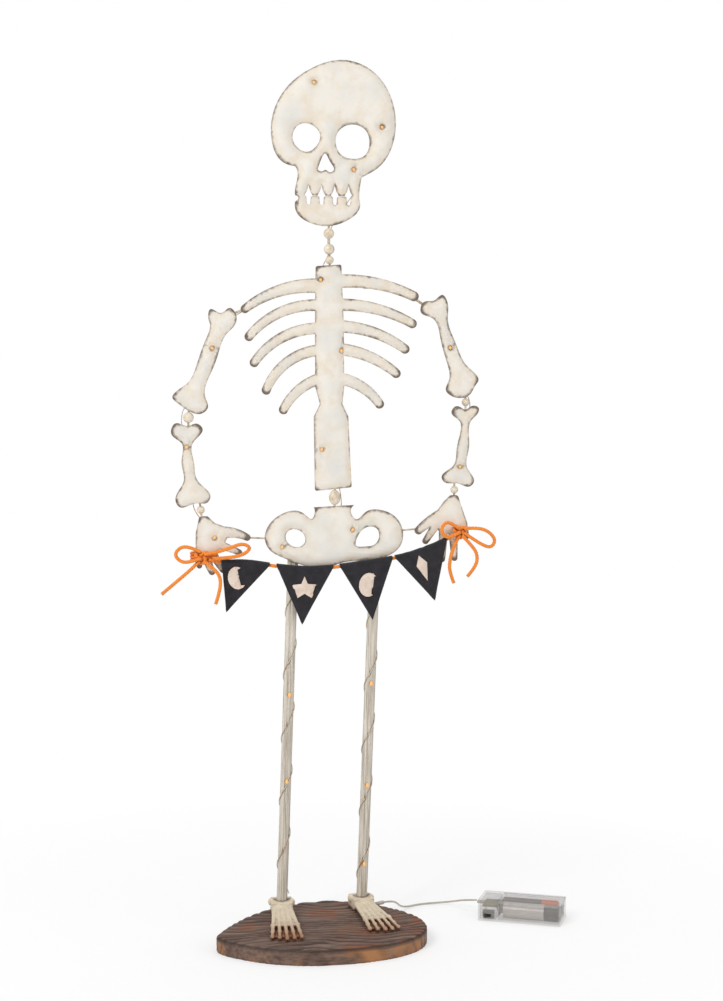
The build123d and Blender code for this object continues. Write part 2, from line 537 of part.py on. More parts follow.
for number, (left, middle, right, apex) in enumerate(PENNANTS, start=1):
    top = [(x, h - HANG) for x, h in (left, middle, right)]
    felt = upright(fillet(make_face(Polyline(*top, apex, close=True)).vertices(), 1.0),
                   FELT_THICKNESS, BUNTING_Y)
    save(f"pennant_{number}", felt)
    centre = Vector((left[0] + right[0] + apex[0]) / 3, (left[1] + right[1] + apex[1]) / 3)
    motif = RegularPolygon(MOTIF_SIZE, 6) if number % 2 else Ellipse(MOTIF_SIZE, MOTIF_SIZE * 0.8)
    motif_y = BUNTING_Y - FELT_THICKNESS / 2 - MOTIF_THICKNESS / 2
    save(f"pennant_motif_{number}", upright(Pos(centre.X, centre.Y) * motif, MOTIF_THICKNESS, motif_y))


def bow_piece(knot, name, points):
    """A loop or tail of twine that starts on the surface of its knot."""
    route = [(x, BUNTING_Y - forward, HIP_Z + h) for x, h, forward in points]
    tube = cord_tube(route, TWINE_RADIUS, name) - knot
    return tube.solids().sort_by(SortBy.VOLUME)[-1]


KNOTS = {"left": ((-103.6, 9.4), (11.5, KNOT_DEPTH, 15.5)), "right": ((127.6, 28.6), (10, KNOT_DEPTH, 12))}
BOW_LOOPS = {
    "left": [[(-106, 14, 0), (-113, 18.5, 1), (-121.5, 18.8, 2), (-127, 12, 2.5), (-121, 5.5, 2.5),
              (-113, 5.5, 2), (-106, 9, 1.5)],
             [(-101, 12, 1), (-91, 13.5, 3.5), (-79, 17.5, 4.5), (-68, 21.5, 5), (-60.5, 17.5, 5.2),
              (-67, 11.5, 5.2), (-80, 8.8, 5), (-92, 8.6, 4.6)]],
    "right": [[(124, 31, 0), (118.5, 36.5, 2), (112, 37.5, 3.5), (108, 31, 4), (111.5, 24.4, 4.2),
               (118, 24.8, 4), (124.5, 28, 2.6)],
              [(131, 31.5, 0), (138, 32.2, 1.5), (150, 30.5, 3), (158.5, 21.5, 3.5), (154, 14, 3.5),
               (145, 17.5, 3), (137, 23, 1.5), (131, 27.5, 0)]],
}
BOW_TAILS = {
    "left": [[(-106, 5, 0), (-113, -1.5, 1.5), (-124, -10.5, 2), (-138, -22, 2.5)],
             [(-101.5, 5, 0), (-93, 0, 3.5), (-87, -8, 5.5), (-88, -20, 6.5), (-91.7, -31, 6.5)]],
    "right": [[(125.5, 25, 0), (119.5, 15, 2.5), (116.3, 4, 4), (115.6, -6, 4.5), (119.8, -16.5, 4.5)],
              [(128.5, 24.5, 0), (135, 18.2, 2.4), (141.8, 9, 3), (140.6, -2, 3.5), (132.3, -11, 3.5)]],
}
for side, (place, size) in KNOTS.items():
    knot = Pos(place[0], BUNTING_Y, HIP_Z + place[1]) * ellipsoid(*size)
    save(f"{side}_knot", knot - string)
    save(f"{side}_bow_loops", [bow_piece(knot, f"{side}_bow_loop", loop) for loop in BOW_LOOPS[side]])
    save(f"{side}_bow_tails", [bow_piece(knot, f"{side}_bow_tail", tail) for tail in BOW_TAILS[side]])


# Battery box, built flat on the floor in its own frame
bay_length = CELL_LENGTH + SPRING_LENGTH + 2 * CONTACT_THICKNESS
box_length = bay_length + ELECTRONICS_LENGTH + 3 * BOX_WALL
bay_width = 2 * CELL_DIAMETER + 3 * CELL_CLEARANCE
box_width = bay_width + 2 * BOX_WALL
cell_z = BOX_WALL + CELL_CLEARANCE / 2 + CELL_DIAMETER / 2
cover_z = BOX_WALL + CELL_DIAMETER + CELL_CLEARANCE + SLIDE_CLEARANCE
box_height = cover_z + COVER_THICKNESS + SLIDE_CLEARANCE + BOX_WALL * 0.4
bay_right = box_length / 2 - BOX_WALL
bay_left = bay_right - bay_length
LOW = (Align.CENTER, Align.CENTER, Align.MIN)
FROM_LEFT = (Align.MIN, Align.CENTER, Align.MIN)
box_place = Pos(BOX_CENTRE[0], BOX_CENTRE[1], 0) * Rot(0, 0, BOX_TURN)

shell = fillet(Box(box_length, box_width, box_height, align=LOW).edges().filter_by(Axis.Z), 1.6)
bay = Pos(bay_left, 0, BOX_WALL) * Box(bay_length, bay_width, box_height, align=FROM_LEFT)
electronics_left = bay_left - BOX_WALL - ELECTRONICS_LENGTH
electronics = Pos(electronics_left, 0, BOX_WALL) * Box(
    ELECTRONICS_LENGTH, bay_width, box_height - 2 * BOX_WALL, align=FROM_LEFT)
cover_slot_length = box_length / 2 - bay_left + 1
cover_width = bay_width + 2 * COVER_LIP
groove = Pos(bay_left, 0, cover_z - SLIDE_CLEARANCE) * Box(
    cover_slot_length, cover_width + 2 * SLIDE_CLEARANCE, COVER_THICKNESS + 2 * SLIDE_CLEARANCE,
    align=FROM_LEFT)
slot_above = Pos(bay_right - 1, 0, cover_z) * Box(BOX_WALL + 2, bay_width, box_height, align=FROM_LEFT)
lead_hole_y = 8.0
lead_hole_z = 10.0
lead_hole = Pos(-box_length / 2, lead_hole_y, lead_hole_z) * Rot(0, 90, 0) * Cylinder(SLEEVE_RADIUS, 8)
switch_x = electronics_left + ELECTRONICS_LENGTH / 2
switch_z = 5.0
switch_slot = Pos(switch_x, -box_width / 2, switch_z) * Box(
    KNOB_LENGTH + SWITCH_TRAVEL + 0.6, 4 * BOX_WALL, KNOB_HEIGHT + 0.4)
board_z = BOX_WALL + 8.6
posts = [Pos(electronics_left + ELECTRONICS_LENGTH / 2 + dx, 4 + dy, BOX_WALL)
         * Cylinder(1.2, board_z - BOX_WALL, align=LOW) for dx, dy in ((-4, -8), (4, 8))]
wire_hole = Pos(bay_left - BOX_WALL / 2, 0, BOX_WALL + 2) * Rot(0, 90, 0) * Cylinder(1.2, 3 * BOX_WALL)
case = shell - bay - electronics - groove - slot_above - lead_hole - switch_slot - wire_hole
for post in posts:
    case = case + post
save("battery_case", box_place * case)
cover = Pos(bay_left + SLIDE_CLEARANCE, 0, cover_z) * Box(
    box_length / 2 - bay_left - SLIDE_CLEARANCE, cover_width, COVER_THICKNESS, align=FROM_LEFT)
for rib_number in range(4):
    thumb_rib = Pos(bay_right - 6 - 2.2 * rib_number, 0, cover_z + COVER_THICKNESS) * Box(
        1.0, 12, 0.5, align=LOW)
    cover = cover + thumb_rib
save("battery_cover", box_place * cover)

cells = []
springs = []
contacts = []
for row, facing in ((-1, 1), (1, -1)):
    y = row * (CELL_DIAMETER + CELL_CLEARANCE) / 2
    can_length = CELL_LENGTH - CELL_NUB_LENGTH
    can = Rot(0, 90, 0) * Cylinder(CELL_DIAMETER / 2, can_length)
    nub = Pos((CELL_LENGTH) / 2, 0, 0) * Rot(0, 90, 0) * Cylinder(CELL_NUB_RADIUS, CELL_NUB_LENGTH)
    cell = Pos(-CELL_NUB_LENGTH / 2, 0, 0) * can + Pos(-CELL_NUB_LENGTH / 2, 0, 0) * nub
    positive_end = bay_right - CONTACT_THICKNESS if facing > 0 else bay_left + CONTACT_THICKNESS
    turn = Rot(0, 0, 0) if facing > 0 else Rot(0, 0, 180)
    cells.append(Pos(positive_end - facing * CELL_LENGTH / 2, y, cell_z) * turn * cell)
    spring_start = positive_end - facing * CELL_LENGTH
    turns = 3
    coil = []
    for step in range(turns * 6 + 1):
        share = step / (turns * 6)
        angle = math.radians(60 * step)
        radius = SPRING_RADIUS * (0.75 + 0.45 * share)
        along = SPRING_WIRE_RADIUS + 0.05 + share * (SPRING_LENGTH - 2 * SPRING_WIRE_RADIUS - 0.1)
        coil.append((spring_start - facing * along, y + radius * math.cos(angle),
                     cell_z + radius * math.sin(angle)))
    springs.append(cord_tube(coil, SPRING_WIRE_RADIUS, "contact_spring"))
    for plate_x in (bay_left + CONTACT_THICKNESS / 2, bay_right - CONTACT_THICKNESS / 2):
        contacts.append(Pos(plate_x, y, cell_z) * Box(CONTACT_THICKNESS, CONTACT_WIDTH, CONTACT_WIDTH))
save("battery_cells", [box_place * cell for cell in cells])
save("contact_springs", [box_place * spring for spring in springs])
save("contact_plates", [box_place * contact for contact in contacts])

board = Pos(electronics_left + ELECTRONICS_LENGTH / 2, 4, board_z) * Box(
    ELECTRONICS_LENGTH - 1, bay_width - 9, 1.2, align=LOW)
save("circuit_board", box_place * board)
knob_inner = 1.6
switch_body_y = -bay_width / 2 + knob_inner + SLIDE_CLEARANCE
switch_body = Pos(switch_x, switch_body_y, BOX_WALL) * Box(
    KNOB_LENGTH + SWITCH_TRAVEL + 4, 4, 7, align=(Align.CENTER, Align.MIN, Align.MIN))
save("switch_body", box_place * switch_body)
knob_depth = KNOB_STANDS_OUT + BOX_WALL + knob_inner
knob = Pos(switch_x - SWITCH_TRAVEL / 2, -box_width / 2 - KNOB_STANDS_OUT, switch_z) * Box(
    KNOB_LENGTH, knob_depth, KNOB_HEIGHT, align=(Align.CENTER, Align.MIN, Align.CENTER))
save("switch_knob", box_place * knob)

# Lead: from the splice sleeve behind the right foot, over the back edge of the slab, along the
# floor and up into the end of the box
sleeve_start = Vector(50.0, LEG_Y + 1.0, BASE_THICKNESS + SLEEVE_RADIUS)
sleeve_direction = Vector(0.86, 0.5, 0).normalized()
sleeve_end = sleeve_start + sleeve_direction * SLEEVE_LENGTH
sleeve = between(tuple(sleeve_start), tuple(sleeve_end), SLEEVE_RADIUS)
save("splice_sleeve", sleeve)
relief_length = 7.0
relief = Pos(-box_length / 2 - relief_length / 2 + BOX_WALL, lead_hole_y, lead_hole_z) * Rot(
    0, -90, 0) * Cone(SLEEVE_RADIUS, LEAD_RADIUS + 0.5, relief_length)
relief_end = (box_place * Pos(-box_length / 2 - relief_length + BOX_WALL, lead_hole_y, lead_hole_z)
              ).position
lead_route = [tuple(sleeve_end), (66.5, 49.5, 15.6), (74, 57, 12.5), (80, 66, 5.5), (88, 76, 1.6),
              (102, 84, 1.2), (118, 85.5, 1.2), (131, 79, 3.5), (140.5, 67.5, 8), tuple(relief_end)]
strain_relief = box_place * relief
lead = cord_tube(lead_route, LEAD_RADIUS, "lead_cord") - sleeve - strain_relief
save("lead_cord", lead.solids().sort_by(SortBy.VOLUME)[-1])
save("strain_relief", strain_relief)

low = min(solid.bounding_box().min.Z for solids in saved.values() for solid in solids)
high = max(solid.bounding_box().max.Z for solids in saved.values() for solid in solids)
print("nodes", len(saved), "lowest", round(low, 3), "highest", round(high, 3))
print("box length", round(box_length, 2), "width", round(box_width, 2), "height", round(box_height, 2))
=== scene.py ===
# %% [markdown]
# # A lit metal skeleton on a wooden slab
# The construction comes from the frame: plates, rods, beads, wires and the battery box.
# Blender adds what the eye meets first: worn paint, carved wood, twisted twine, felt and light.

# %% Load the frame
import math

import bmesh
import bpy
from mathutils import Matrix, Vector, noise
from mathutils.bvhtree import BVHTree
from mathutils.kdtree import KDTree


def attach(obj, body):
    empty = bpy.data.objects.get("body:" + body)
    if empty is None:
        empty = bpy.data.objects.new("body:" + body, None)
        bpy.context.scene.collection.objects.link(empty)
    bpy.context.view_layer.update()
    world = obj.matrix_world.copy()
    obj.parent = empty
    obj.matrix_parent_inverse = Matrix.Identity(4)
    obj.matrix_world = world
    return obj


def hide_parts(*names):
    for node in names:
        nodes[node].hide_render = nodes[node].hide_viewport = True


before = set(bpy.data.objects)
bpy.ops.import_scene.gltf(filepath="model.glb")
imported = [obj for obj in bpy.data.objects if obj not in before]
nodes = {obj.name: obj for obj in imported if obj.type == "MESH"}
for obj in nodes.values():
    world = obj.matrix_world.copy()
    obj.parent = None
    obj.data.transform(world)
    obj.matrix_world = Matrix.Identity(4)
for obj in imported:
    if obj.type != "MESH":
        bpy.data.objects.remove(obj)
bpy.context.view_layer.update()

# %% [markdown]
# ## Sizes that every later cell shares
# One millimetre is the unit of the drawings, and Blender works in metres. Heights on the
# figure are counted from the hip line, where the legs end and the pelvis begins.

# %% Shared sizes
MM = 0.001
FIGURE_Y = 35.0
PLATE_THICKNESS = 2.0
HIP_Z = 14.0 + 308.7
BUNTING_Y = 29.2
TWINE_DIAMETER = 3.2
BOX_TURN = math.radians(-26)
BOX_CENTRE = Vector((184.8, 28.1, 0)) * MM


def on_figure(x, h, forward=0.0, y=BUNTING_Y):
    """A point over the hip line, in metres; forward brings it towards the front."""
    return Vector((x, y - forward, HIP_Z + h)) * MM


print("hip line at", HIP_Z, "mm")

# %% [markdown]
# ## Camera
# The view is a plain product view: a long lens a metre and a half away, a little above the
# middle of the figure and turned ten degrees, so the left edge of each plate just shows.

# %% Camera
VIEW_TURN = math.radians(-10)
VIEW_TILT = math.radians(3.05)
VIEW_DISTANCE = 1.5
aim = Vector((0.0385, 0.035, 0.3797))
backwards = Vector((math.sin(VIEW_TURN) * math.cos(VIEW_TILT),
                    -math.cos(VIEW_TURN) * math.cos(VIEW_TILT), math.sin(VIEW_TILT)))
camera_data = bpy.data.cameras.new("product_camera")
camera_data.lens = 61.15
camera_data.clip_end = 20
camera = bpy.data.objects.new("product_camera", camera_data)
bpy.context.scene.collection.objects.link(camera)
camera.location = aim + backwards * VIEW_DISTANCE
camera.rotation_euler = (aim - camera.location).to_track_quat("-Z", "Y").to_euler()
bpy.context.scene.camera = camera
print("camera at", [round(v, 3) for v in camera.location])

# %% [markdown]
# ## Helpers for materials
# Hex colours are written the way a painter reads them from a chart, in sRGB, and a shader
# wants linear light, so one function turns them. The other adds a node, sets what is named
# and plugs in what comes before it, which keeps each finish readable from top to bottom.

# %% Colour and node helpers


def linear(code):
    """sRGB hex to the linear colour that a shader reads."""
    channels = [int(code[i:i + 2], 16) / 255 for i in (1, 3, 5)]
    return [c / 12.92 if c <= 0.04045 else ((c + 0.055) / 1.055) ** 2.4 for c in channels] + [1.0]


def output_of(source):
    """The socket itself, or the first output that a node has in use."""
    if isinstance(source, bpy.types.NodeSocket):
        return source
    return next(socket for socket in source.outputs if socket.enabled)


def feed(node, settings):
    """Sets the options and inputs of a node; an input that is given a node is linked to it."""
    for key, value in settings.items():
        if isinstance(key, str) and hasattr(node, key):
            setattr(node, key, value)
        elif isinstance(value, (bpy.types.Node, bpy.types.NodeSocket)):
            node.id_data.links.new(output_of(value), node.inputs[key])
        else:
            node.inputs[key].default_value = value


def add(material, kind, settings=None):
    """Adds one node with its options, values and links."""
    made = material.node_tree.nodes.new("ShaderNode" + kind)
    feed(made, settings or {})
    return made


def new_material(name):
    """An empty material, its surface shader and its object coordinates."""
    material = bpy.data.materials.new(name)
    material.use_nodes = True
    material.node_tree.nodes.clear()
    surface = add(material, "BsdfPrincipled")
    add(material, "OutputMaterial", {"Surface": surface})
    place = add(material, "TexCoord").outputs["Object"]
    return material, surface, place


print("white is", linear("#FFFFFF")[0])

# %% [markdown]
# ## Antiqued white paint
# The plates are cut from sheet steel, sprayed off-white, then rubbed back and toned with a
# brown glaze that stays along the cut edges. Three things tell the eye so: broad soft patches
# of warm and cool white, a fine speckle, and a dark edge whose width wanders and grows on the
# tips, where hands rub. Each plate carries two values for it at every point: how far the rim
# is, and how strongly the rim bulges outwards there.

# %% Antiqued white paint


def antiqued_paint(name, patch_mm, light="#F1EBE1", warm="#E9DCC8", cool="#E4E2DC"):
    """Off-white paint with soft patches and fleck; returns the pieces that a glaze goes over."""
    material, surface, place = new_material(name)
    patches = add(material, "TexNoise", {"Scale": 1 / (patch_mm * MM), "Detail": 3.0, "Roughness": 0.6,
                                         "Vector": place})
    cool_patches = add(material, "TexNoise", {"noise_dimensions": "4D", "Scale": 1 / (patch_mm * 1.7 * MM),
                                              "Detail": 2.0, "W": 4.0, "Vector": place})
    speckle = add(material, "TexNoise", {"Scale": 1 / (2.2 * MM), "Detail": 4.0, "Roughness": 0.65,
                                         "Vector": place})
    warm_share = add(material, "MapRange", {"From Min": 0.46, "From Max": 0.72, "Value": patches})
    cool_share = add(material, "MapRange", {"From Min": 0.48, "From Max": 0.72, "Value": cool_patches})
    base = add(material, "Mix", {"data_type": "RGBA", 6: linear(light), 7: linear(warm), 0: warm_share})
    base = add(material, "Mix", {"data_type": "RGBA", 7: linear(cool), 0: cool_share, 6: base})
    fleck_share = add(material, "MapRange", {"From Min": 0.6, "From Max": 0.78, "To Max": 0.4,
                                             "Value": speckle})
    base = add(material, "Mix", {"data_type": "RGBA", 7: linear("#CDB99C"), 0: fleck_share, 6: base})
    sheen = add(material, "MapRange", {"To Min": 0.42, "To Max": 0.62, "Value": patches})
    dimples = add(material, "Bump", {"Strength": 0.3, "Distance": 0.15 * MM, "Height": speckle})
    feed(surface, {"Roughness": sheen, "Normal": dimples})
    return material, surface, place, base


def glazed_plate_paint():
    """The paint with its brown glaze along the rim, broad on the tips and thin in the hollows."""
    material, surface, place, base = antiqued_paint("antiqued_white_paint", 16)
    rim = add(material, "Attribute", {"attribute_name": "rim_mm"})
    lobe = add(material, "Attribute", {"attribute_name": "lobe"})
    ragged = add(material, "TexNoise", {"Scale": 1 / (3.5 * MM), "Detail": 5.0, "Vector": place})
    broad = add(material, "TexNoise", {"Scale": 1 / (24 * MM), "Detail": 2.0, "Vector": place})
    width = add(material, "Math", {"operation": "MULTIPLY_ADD", 1: 2.4, 2: -0.35, 0: lobe.outputs["Fac"]})
    drift = add(material, "Math", {"operation": "MULTIPLY_ADD", 1: 3.4, 0: broad, 2: width})
    bite = add(material, "Math", {"operation": "MULTIPLY_ADD", 1: 3.6, 0: ragged, 2: drift})
    reach = add(material, "Math", {"operation": "SUBTRACT", 1: 2.9, 0: bite})
    under = add(material, "Math", {"operation": "SUBTRACT", 0: reach, 1: rim.outputs["Fac"]})
    share = add(material, "MapRange", {"From Min": -1.4, "From Max": 0.6, "To Max": 0.9, "Value": under})
    side = add(material, "MapRange", {"From Min": 0.12, "From Max": 0.02, "To Max": 0.75,
                                      "Value": rim.outputs["Fac"]})
    most = add(material, "Math", {"operation": "MAXIMUM", 0: share, 1: side})
    tint = add(material, "MapRange", {"From Min": 6.5, "From Max": 0.5, "To Max": 0.3,
                                      "Value": rim.outputs["Fac"]})
    toned = add(material, "Mix", {"data_type": "RGBA", 7: linear("#D8BF9A"), 0: tint, 6: base})
    glaze = add(material, "Mix", {"data_type": "RGBA", 6: linear("#7A6350"), 7: linear("#2A221C"),
                                  0: ragged})
    darkened_paint = add(material, "Mix", {"data_type": "RGBA", 0: most, 6: toned, 7: glaze})
    feed(surface, {"Base Color": darkened_paint})
    return material


plate_paint = glazed_plate_paint()
print("plate paint has", len(plate_paint.node_tree.nodes), "nodes")

# %% [markdown]
# ## Plates embossed from sheet
# Each plate is pressed so that its front swells and its rim stays low, which gives the ribs
# their round look. A welded copy of the flat construction plate gets a small round on its
# rims. It is then cut by planes 3 mm apart in both directions, so that it has points to move,
# and every front point comes forward by an amount that grows with its distance from the rim.

# %% Plates embossed from sheet
GRID_STEP = 3.0
SWELL_REACH = 4.5
LED_HOLE_REACH = 2.2
RIM_ROUND = 0.4


def welded_copy(node):
    """A bmesh of one construction node with its doubles merged and its flat faces joined."""
    mesh = bmesh.new()
    mesh.from_mesh(nodes[node].data)
    bmesh.ops.remove_doubles(mesh, verts=mesh.verts, dist=0.002 * MM)
    bmesh.ops.dissolve_limit(mesh, angle_limit=math.radians(0.6), verts=mesh.verts, edges=mesh.edges)
    return mesh


def finish_piece(mesh, name, material, body="figure", smooth=True):
    """Turns a bmesh into a piece that rides on a body."""
    data = bpy.data.meshes.new(name)
    mesh.to_mesh(data)
    mesh.free()
    piece = bpy.data.objects.new(name, data)
    bpy.context.scene.collection.objects.link(piece)
    data.materials.append(material)
    data.polygons.foreach_set("use_smooth", [smooth] * len(data.polygons))
    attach(piece, body)
    return piece


def rim_edges(mesh):
    """The edges between the flat faces and the cut side of a plate."""
    found = []
    for edge in mesh.edges:
        if len(edge.link_faces) == 2:
            flats = [abs(face.normal.y) > 0.9 for face in edge.link_faces]
            if flats.count(True) == 1:
                found.append(edge)
    return found


def rim_loops(rims):
    """The front rim edges, gathered into closed loops: the outline and each opening."""
    front = dict.fromkeys(edge for edge in rims
                          if max(vertex.co.y for vertex in edge.verts) < FIGURE_Y * MM)
    loops = []
    while front:
        loop = [front.popitem()[0]]
        for edge in loop:
            for vertex in edge.verts:
                for other in vertex.link_edges:
                    if other in front:
                        del front[other]
                        loop.append(other)
        loops.append(loop)
    return loops


def rim_samples(rims):
    """Points a millimetre apart along the front rim, with their bulge and kind of opening."""
    points = []
    bulges = []
    pin_holes = []
    for loop in rim_loops(rims):
        start = len(points)
        for edge in loop:
            a, b = (vertex.co for vertex in edge.verts)
            wall = next(face for face in edge.link_faces if abs(face.normal.y) < 0.9)
            count = max(1, round((b - a).length / MM))
            for step in range(count):
                points.append((a.lerp(b, (step + 0.5) / count), wall.normal.copy()))
        around = sum(edge.calc_length() for edge in loop)
        for point, outward in points[start:]:
            near = [other for other, _ in points[start:] if (other - point).length < 5.5 * MM]
            middle = sum(near, Vector()) / len(near)
            bulges.append((point - middle).dot(outward) / MM)
            pin_holes.append(around < 12 * MM)
    tree = KDTree(len(points))
    for index, (point, _) in enumerate(points):
        tree.insert(point, index)
    tree.balance()
    return tree, bulges, pin_holes


def cut_by_grid(mesh, step):
    """Cuts the mesh by planes at even steps across and up."""
    for axis in (0, 2):
        values = [vertex.co[axis] / MM for vertex in mesh.verts]
        low, high = min(values), max(values)
        direction = Vector((0, 0, 0))
        direction[axis] = 1
        position = math.ceil(low / step) * step
        while position < high:
            everything = mesh.verts[:] + mesh.edges[:] + mesh.faces[:]
            bmesh.ops.bisect_plane(mesh, geom=everything, dist=0.001 * MM,
                                   plane_co=direction * position * MM, plane_no=direction)
            position += step


def embossed_plate(node, swell):
    """The plate with rounded rims, its front swollen by so many millimetres."""
    mesh = welded_copy(node)
    rims = rim_edges(mesh)
    tree, bulges, pin_holes = rim_samples(rims)
    bmesh.ops.bevel(mesh, geom=rims, offset=RIM_ROUND * MM, affect="EDGES", segments=3, profile=0.5,
                    material=-1, clamp_overlap=True)
    bmesh.ops.triangulate(mesh, faces=mesh.faces, ngon_method="EAR_CLIP")
    cut_by_grid(mesh, GRID_STEP)
    rim_layer = mesh.verts.layers.float.new("rim_mm")
    lobe_layer = mesh.verts.layers.float.new("lobe")
    front = (FIGURE_Y - PLATE_THICKNESS / 2 + 0.25) * MM
    for vertex in mesh.verts:
        spot = Vector((vertex.co.x, (FIGURE_Y - PLATE_THICKNESS / 2) * MM, vertex.co.z))
        _, index, distance = tree.find(spot)
        distance /= MM
        reach = LED_HOLE_REACH if pin_holes[index] else SWELL_REACH
        on_side = FIGURE_Y - vertex.co.y / MM < PLATE_THICKNESS / 2 - 0.05
        vertex[rim_layer] = 0.0 if on_side and distance < 0.3 else distance
        vertex[lobe_layer] = max(0.0, min(1.0, bulges[index] / 1.6))
        if vertex.co.y < front:
            rise = 1 - math.exp(-(distance / reach) ** 1.6)
            uneven = 1 + 0.25 * noise.noise(vertex.co * 55)
            vertex.co.y -= swell * rise * uneven * MM
    piece = finish_piece(mesh, node + "_embossed", plate_paint)
    even = piece.modifiers.new("even shading", "WEIGHTED_NORMAL")
    even.keep_sharp = False
    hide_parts(node)
    return piece


PLATES = {"skull_plate": 2.4, "rib_plate": 1.9, "pelvis_plate": 1.7, "left_upper_arm": 1.7,
          "right_upper_arm": 1.7, "left_forearm": 1.6, "right_forearm": 1.6, "left_hand": 1.1,
          "right_hand": 1.1}
for plate, swell in PLATES.items():
    piece = embossed_plate(plate, swell)
    print(piece.name, len(piece.data.polygons), "faces")

# %% [markdown]
# ## Beads, pins and links
# The round beads between the plates keep their construction shape. They wear the same paint
# as the plates, rubbed back to a brown metal, and so do the pins and links, rubbed further.

# %% Bead and pin finishes


def bead_finish(name, light, warm, cool, shine):
    """The plates' paint rubbed thin over metal, with brown left in the deep places."""
    material, surface, place, base = antiqued_paint(name, 4, light, warm, cool)
    depth = add(material, "AmbientOcclusion", {"samples": 8, "Distance": 2.5 * MM})
    deep = add(material, "MapRange", {"From Min": 0.35, "From Max": 0.8, "Value": depth.outputs["AO"]})
    colour = add(material, "Mix", {"data_type": "RGBA", 6: linear("#6E5844"), 0: deep, 7: base})
    feed(surface, {"Base Color": colour, "Coat Weight": shine, "Coat Roughness": 0.15})
    return material


def finish_node(node, material):
    """Gives a construction node its finish by filling its material slots."""
    for place in nodes[node].material_slots:
        place.material = material
    if not nodes[node].material_slots:
        nodes[node].data.materials.append(material)


bead_paint = bead_finish("antiqued_bead_glaze", "#EDE2CF", "#D4B07C", "#B9AC98", 0.6)
pin_paint = bead_finish("rubbed_pin_paint", "#D9C9B0", "#A98A66", "#8F8271", 0.2)
for node in ("neck_beads", "waist_bead", "elbow_beads", "wrist_beads"):
    finish_node(node, bead_paint)
for node in ("spine_pins", "elbow_pins", "wrist_pins", "shoulder_links", "hip_links"):
    finish_node(node, pin_paint)
print("beads and pins finished")

# %% [markdown]
# ## Grooved legs
# Each leg is a grooved rod with a thin white wash. The wash lies on the ridges and leaves the
# grooves grey-brown, so the finish is streaks drawn out along the rod, and an Ambient
# Occlusion node darkens what lies deep.

# %% Grooved legs


def streaked_rod():
    """A white wash dragged along a rod: long thin streaks, darker in the grooves."""
    material, surface, place = new_material("white_washed_rod")
    drawn = add(material, "Mapping", {"Scale": (1.0, 1.0, 0.035), "Vector": place})
    streaks = add(material, "TexNoise", {"Scale": 1 / (1.6 * MM), "Detail": 4.0, "Roughness": 0.6,
                                         "Vector": drawn})
    share = add(material, "MapRange", {"From Min": 0.42, "From Max": 0.66, "Value": streaks})
    wash = add(material, "Mix", {"data_type": "RGBA", 6: linear("#DED6C8"), 7: linear("#A79D8D"), 0: share})
    depth = add(material, "AmbientOcclusion", {"samples": 8, "Distance": 1.6 * MM})
    grooves = add(material, "MapRange", {"From Min": 0.45, "From Max": 0.85, "Value": depth.outputs["AO"]})
    colour = add(material, "Mix", {"data_type": "RGBA", 6: linear("#7E7466"), 0: grooves, 7: wash})
    lines = add(material, "Bump", {"Strength": 0.4, "Distance": 0.25 * MM, "Height": streaks})
    feed(surface, {"Base Color": colour, "Roughness": 0.6, "Normal": lines})
    return material


rod_wash = streaked_rod()
for node in ("left_leg", "right_leg"):
    finish_node(node, rod_wash)
print("legs finished")

# %% [markdown]
# ## Carved slab
# The slab is a slice of softwood carved with shallow wandering furrows and stained brown. A
# voxel remesh gives the plain construction slab enough points for the furrows, and each point
# is then moved by the furrow's height, so the carving is real and not only painted.

# %% Carved slab
FURROW_SPACING = 7.5
FURROW_DEPTH = 1.5


def furrow(point):
    """How deep the carving is at a point of the slab, from 0 on a ridge to 1 in a furrow."""
    wander = noise.noise(Vector((point.x * 12, point.y * 14, 3.1))) * 19.0
    wander += noise.noise(Vector((point.x * 42, point.y * 60, 9.4))) * 4.0
    across = point.y / MM + wander + point.z * 260
    wave = 0.5 + 0.5 * math.sin(2 * math.pi * across / FURROW_SPACING)
    broken = 0.55 + 0.6 * noise.noise(Vector((point.x * 34, point.y * 60, 1.7)))
    return wave ** 2.0 * broken


def final_mesh(thing):
    """The mesh of an object after its modifiers; the object itself is taken away."""
    data = bpy.data.meshes.new_from_object(thing.evaluated_get(bpy.context.evaluated_depsgraph_get()))
    bpy.data.objects.remove(thing)
    mesh = bmesh.new()
    mesh.from_mesh(data)
    return mesh


def remeshed(blank, point_distance):
    """A blank melted into one skin with evenly spaced points."""
    melt = blank.modifiers.new("even points", "REMESH")
    melt.mode = "VOXEL"
    melt.voxel_size = point_distance
    return final_mesh(blank)


def carved_slab():
    """The slab, remeshed finely and carved on its top and sides."""
    mesh = welded_copy("base_slab")
    carved = remeshed(finish_piece(mesh, "slab_blank", plate_paint, smooth=False), 1.0 * MM)
    carved.normal_update()
    carve_layer = carved.verts.layers.float.new("carve")
    moves = []
    for vertex in carved.verts:
        height = vertex.co.z / MM
        grip = min(1.0, max(0.0, (height - 1.2) / 2.5))
        chips = noise.noise(vertex.co * 160) * 0.35 + noise.noise(vertex.co * 60) * 0.5
        side = 1.0 - abs(vertex.normal.z)
        cut = furrow(vertex.co)
        vertex[carve_layer] = cut * (1 - 0.6 * side)
        hollow = max(0.0, noise.noise(Vector((vertex.co.x * 24, vertex.co.y * 24, 6.0)))) * 4.0 * side
        depth = cut * FURROW_DEPTH * (1 - 0.35 * side) + chips * (0.25 + 1.2 * side) + hollow
        moves.append(vertex.normal * (-max(0.0, depth) * grip * MM))
    for vertex, move in zip(carved.verts, moves):
        vertex.co += move
    return carved


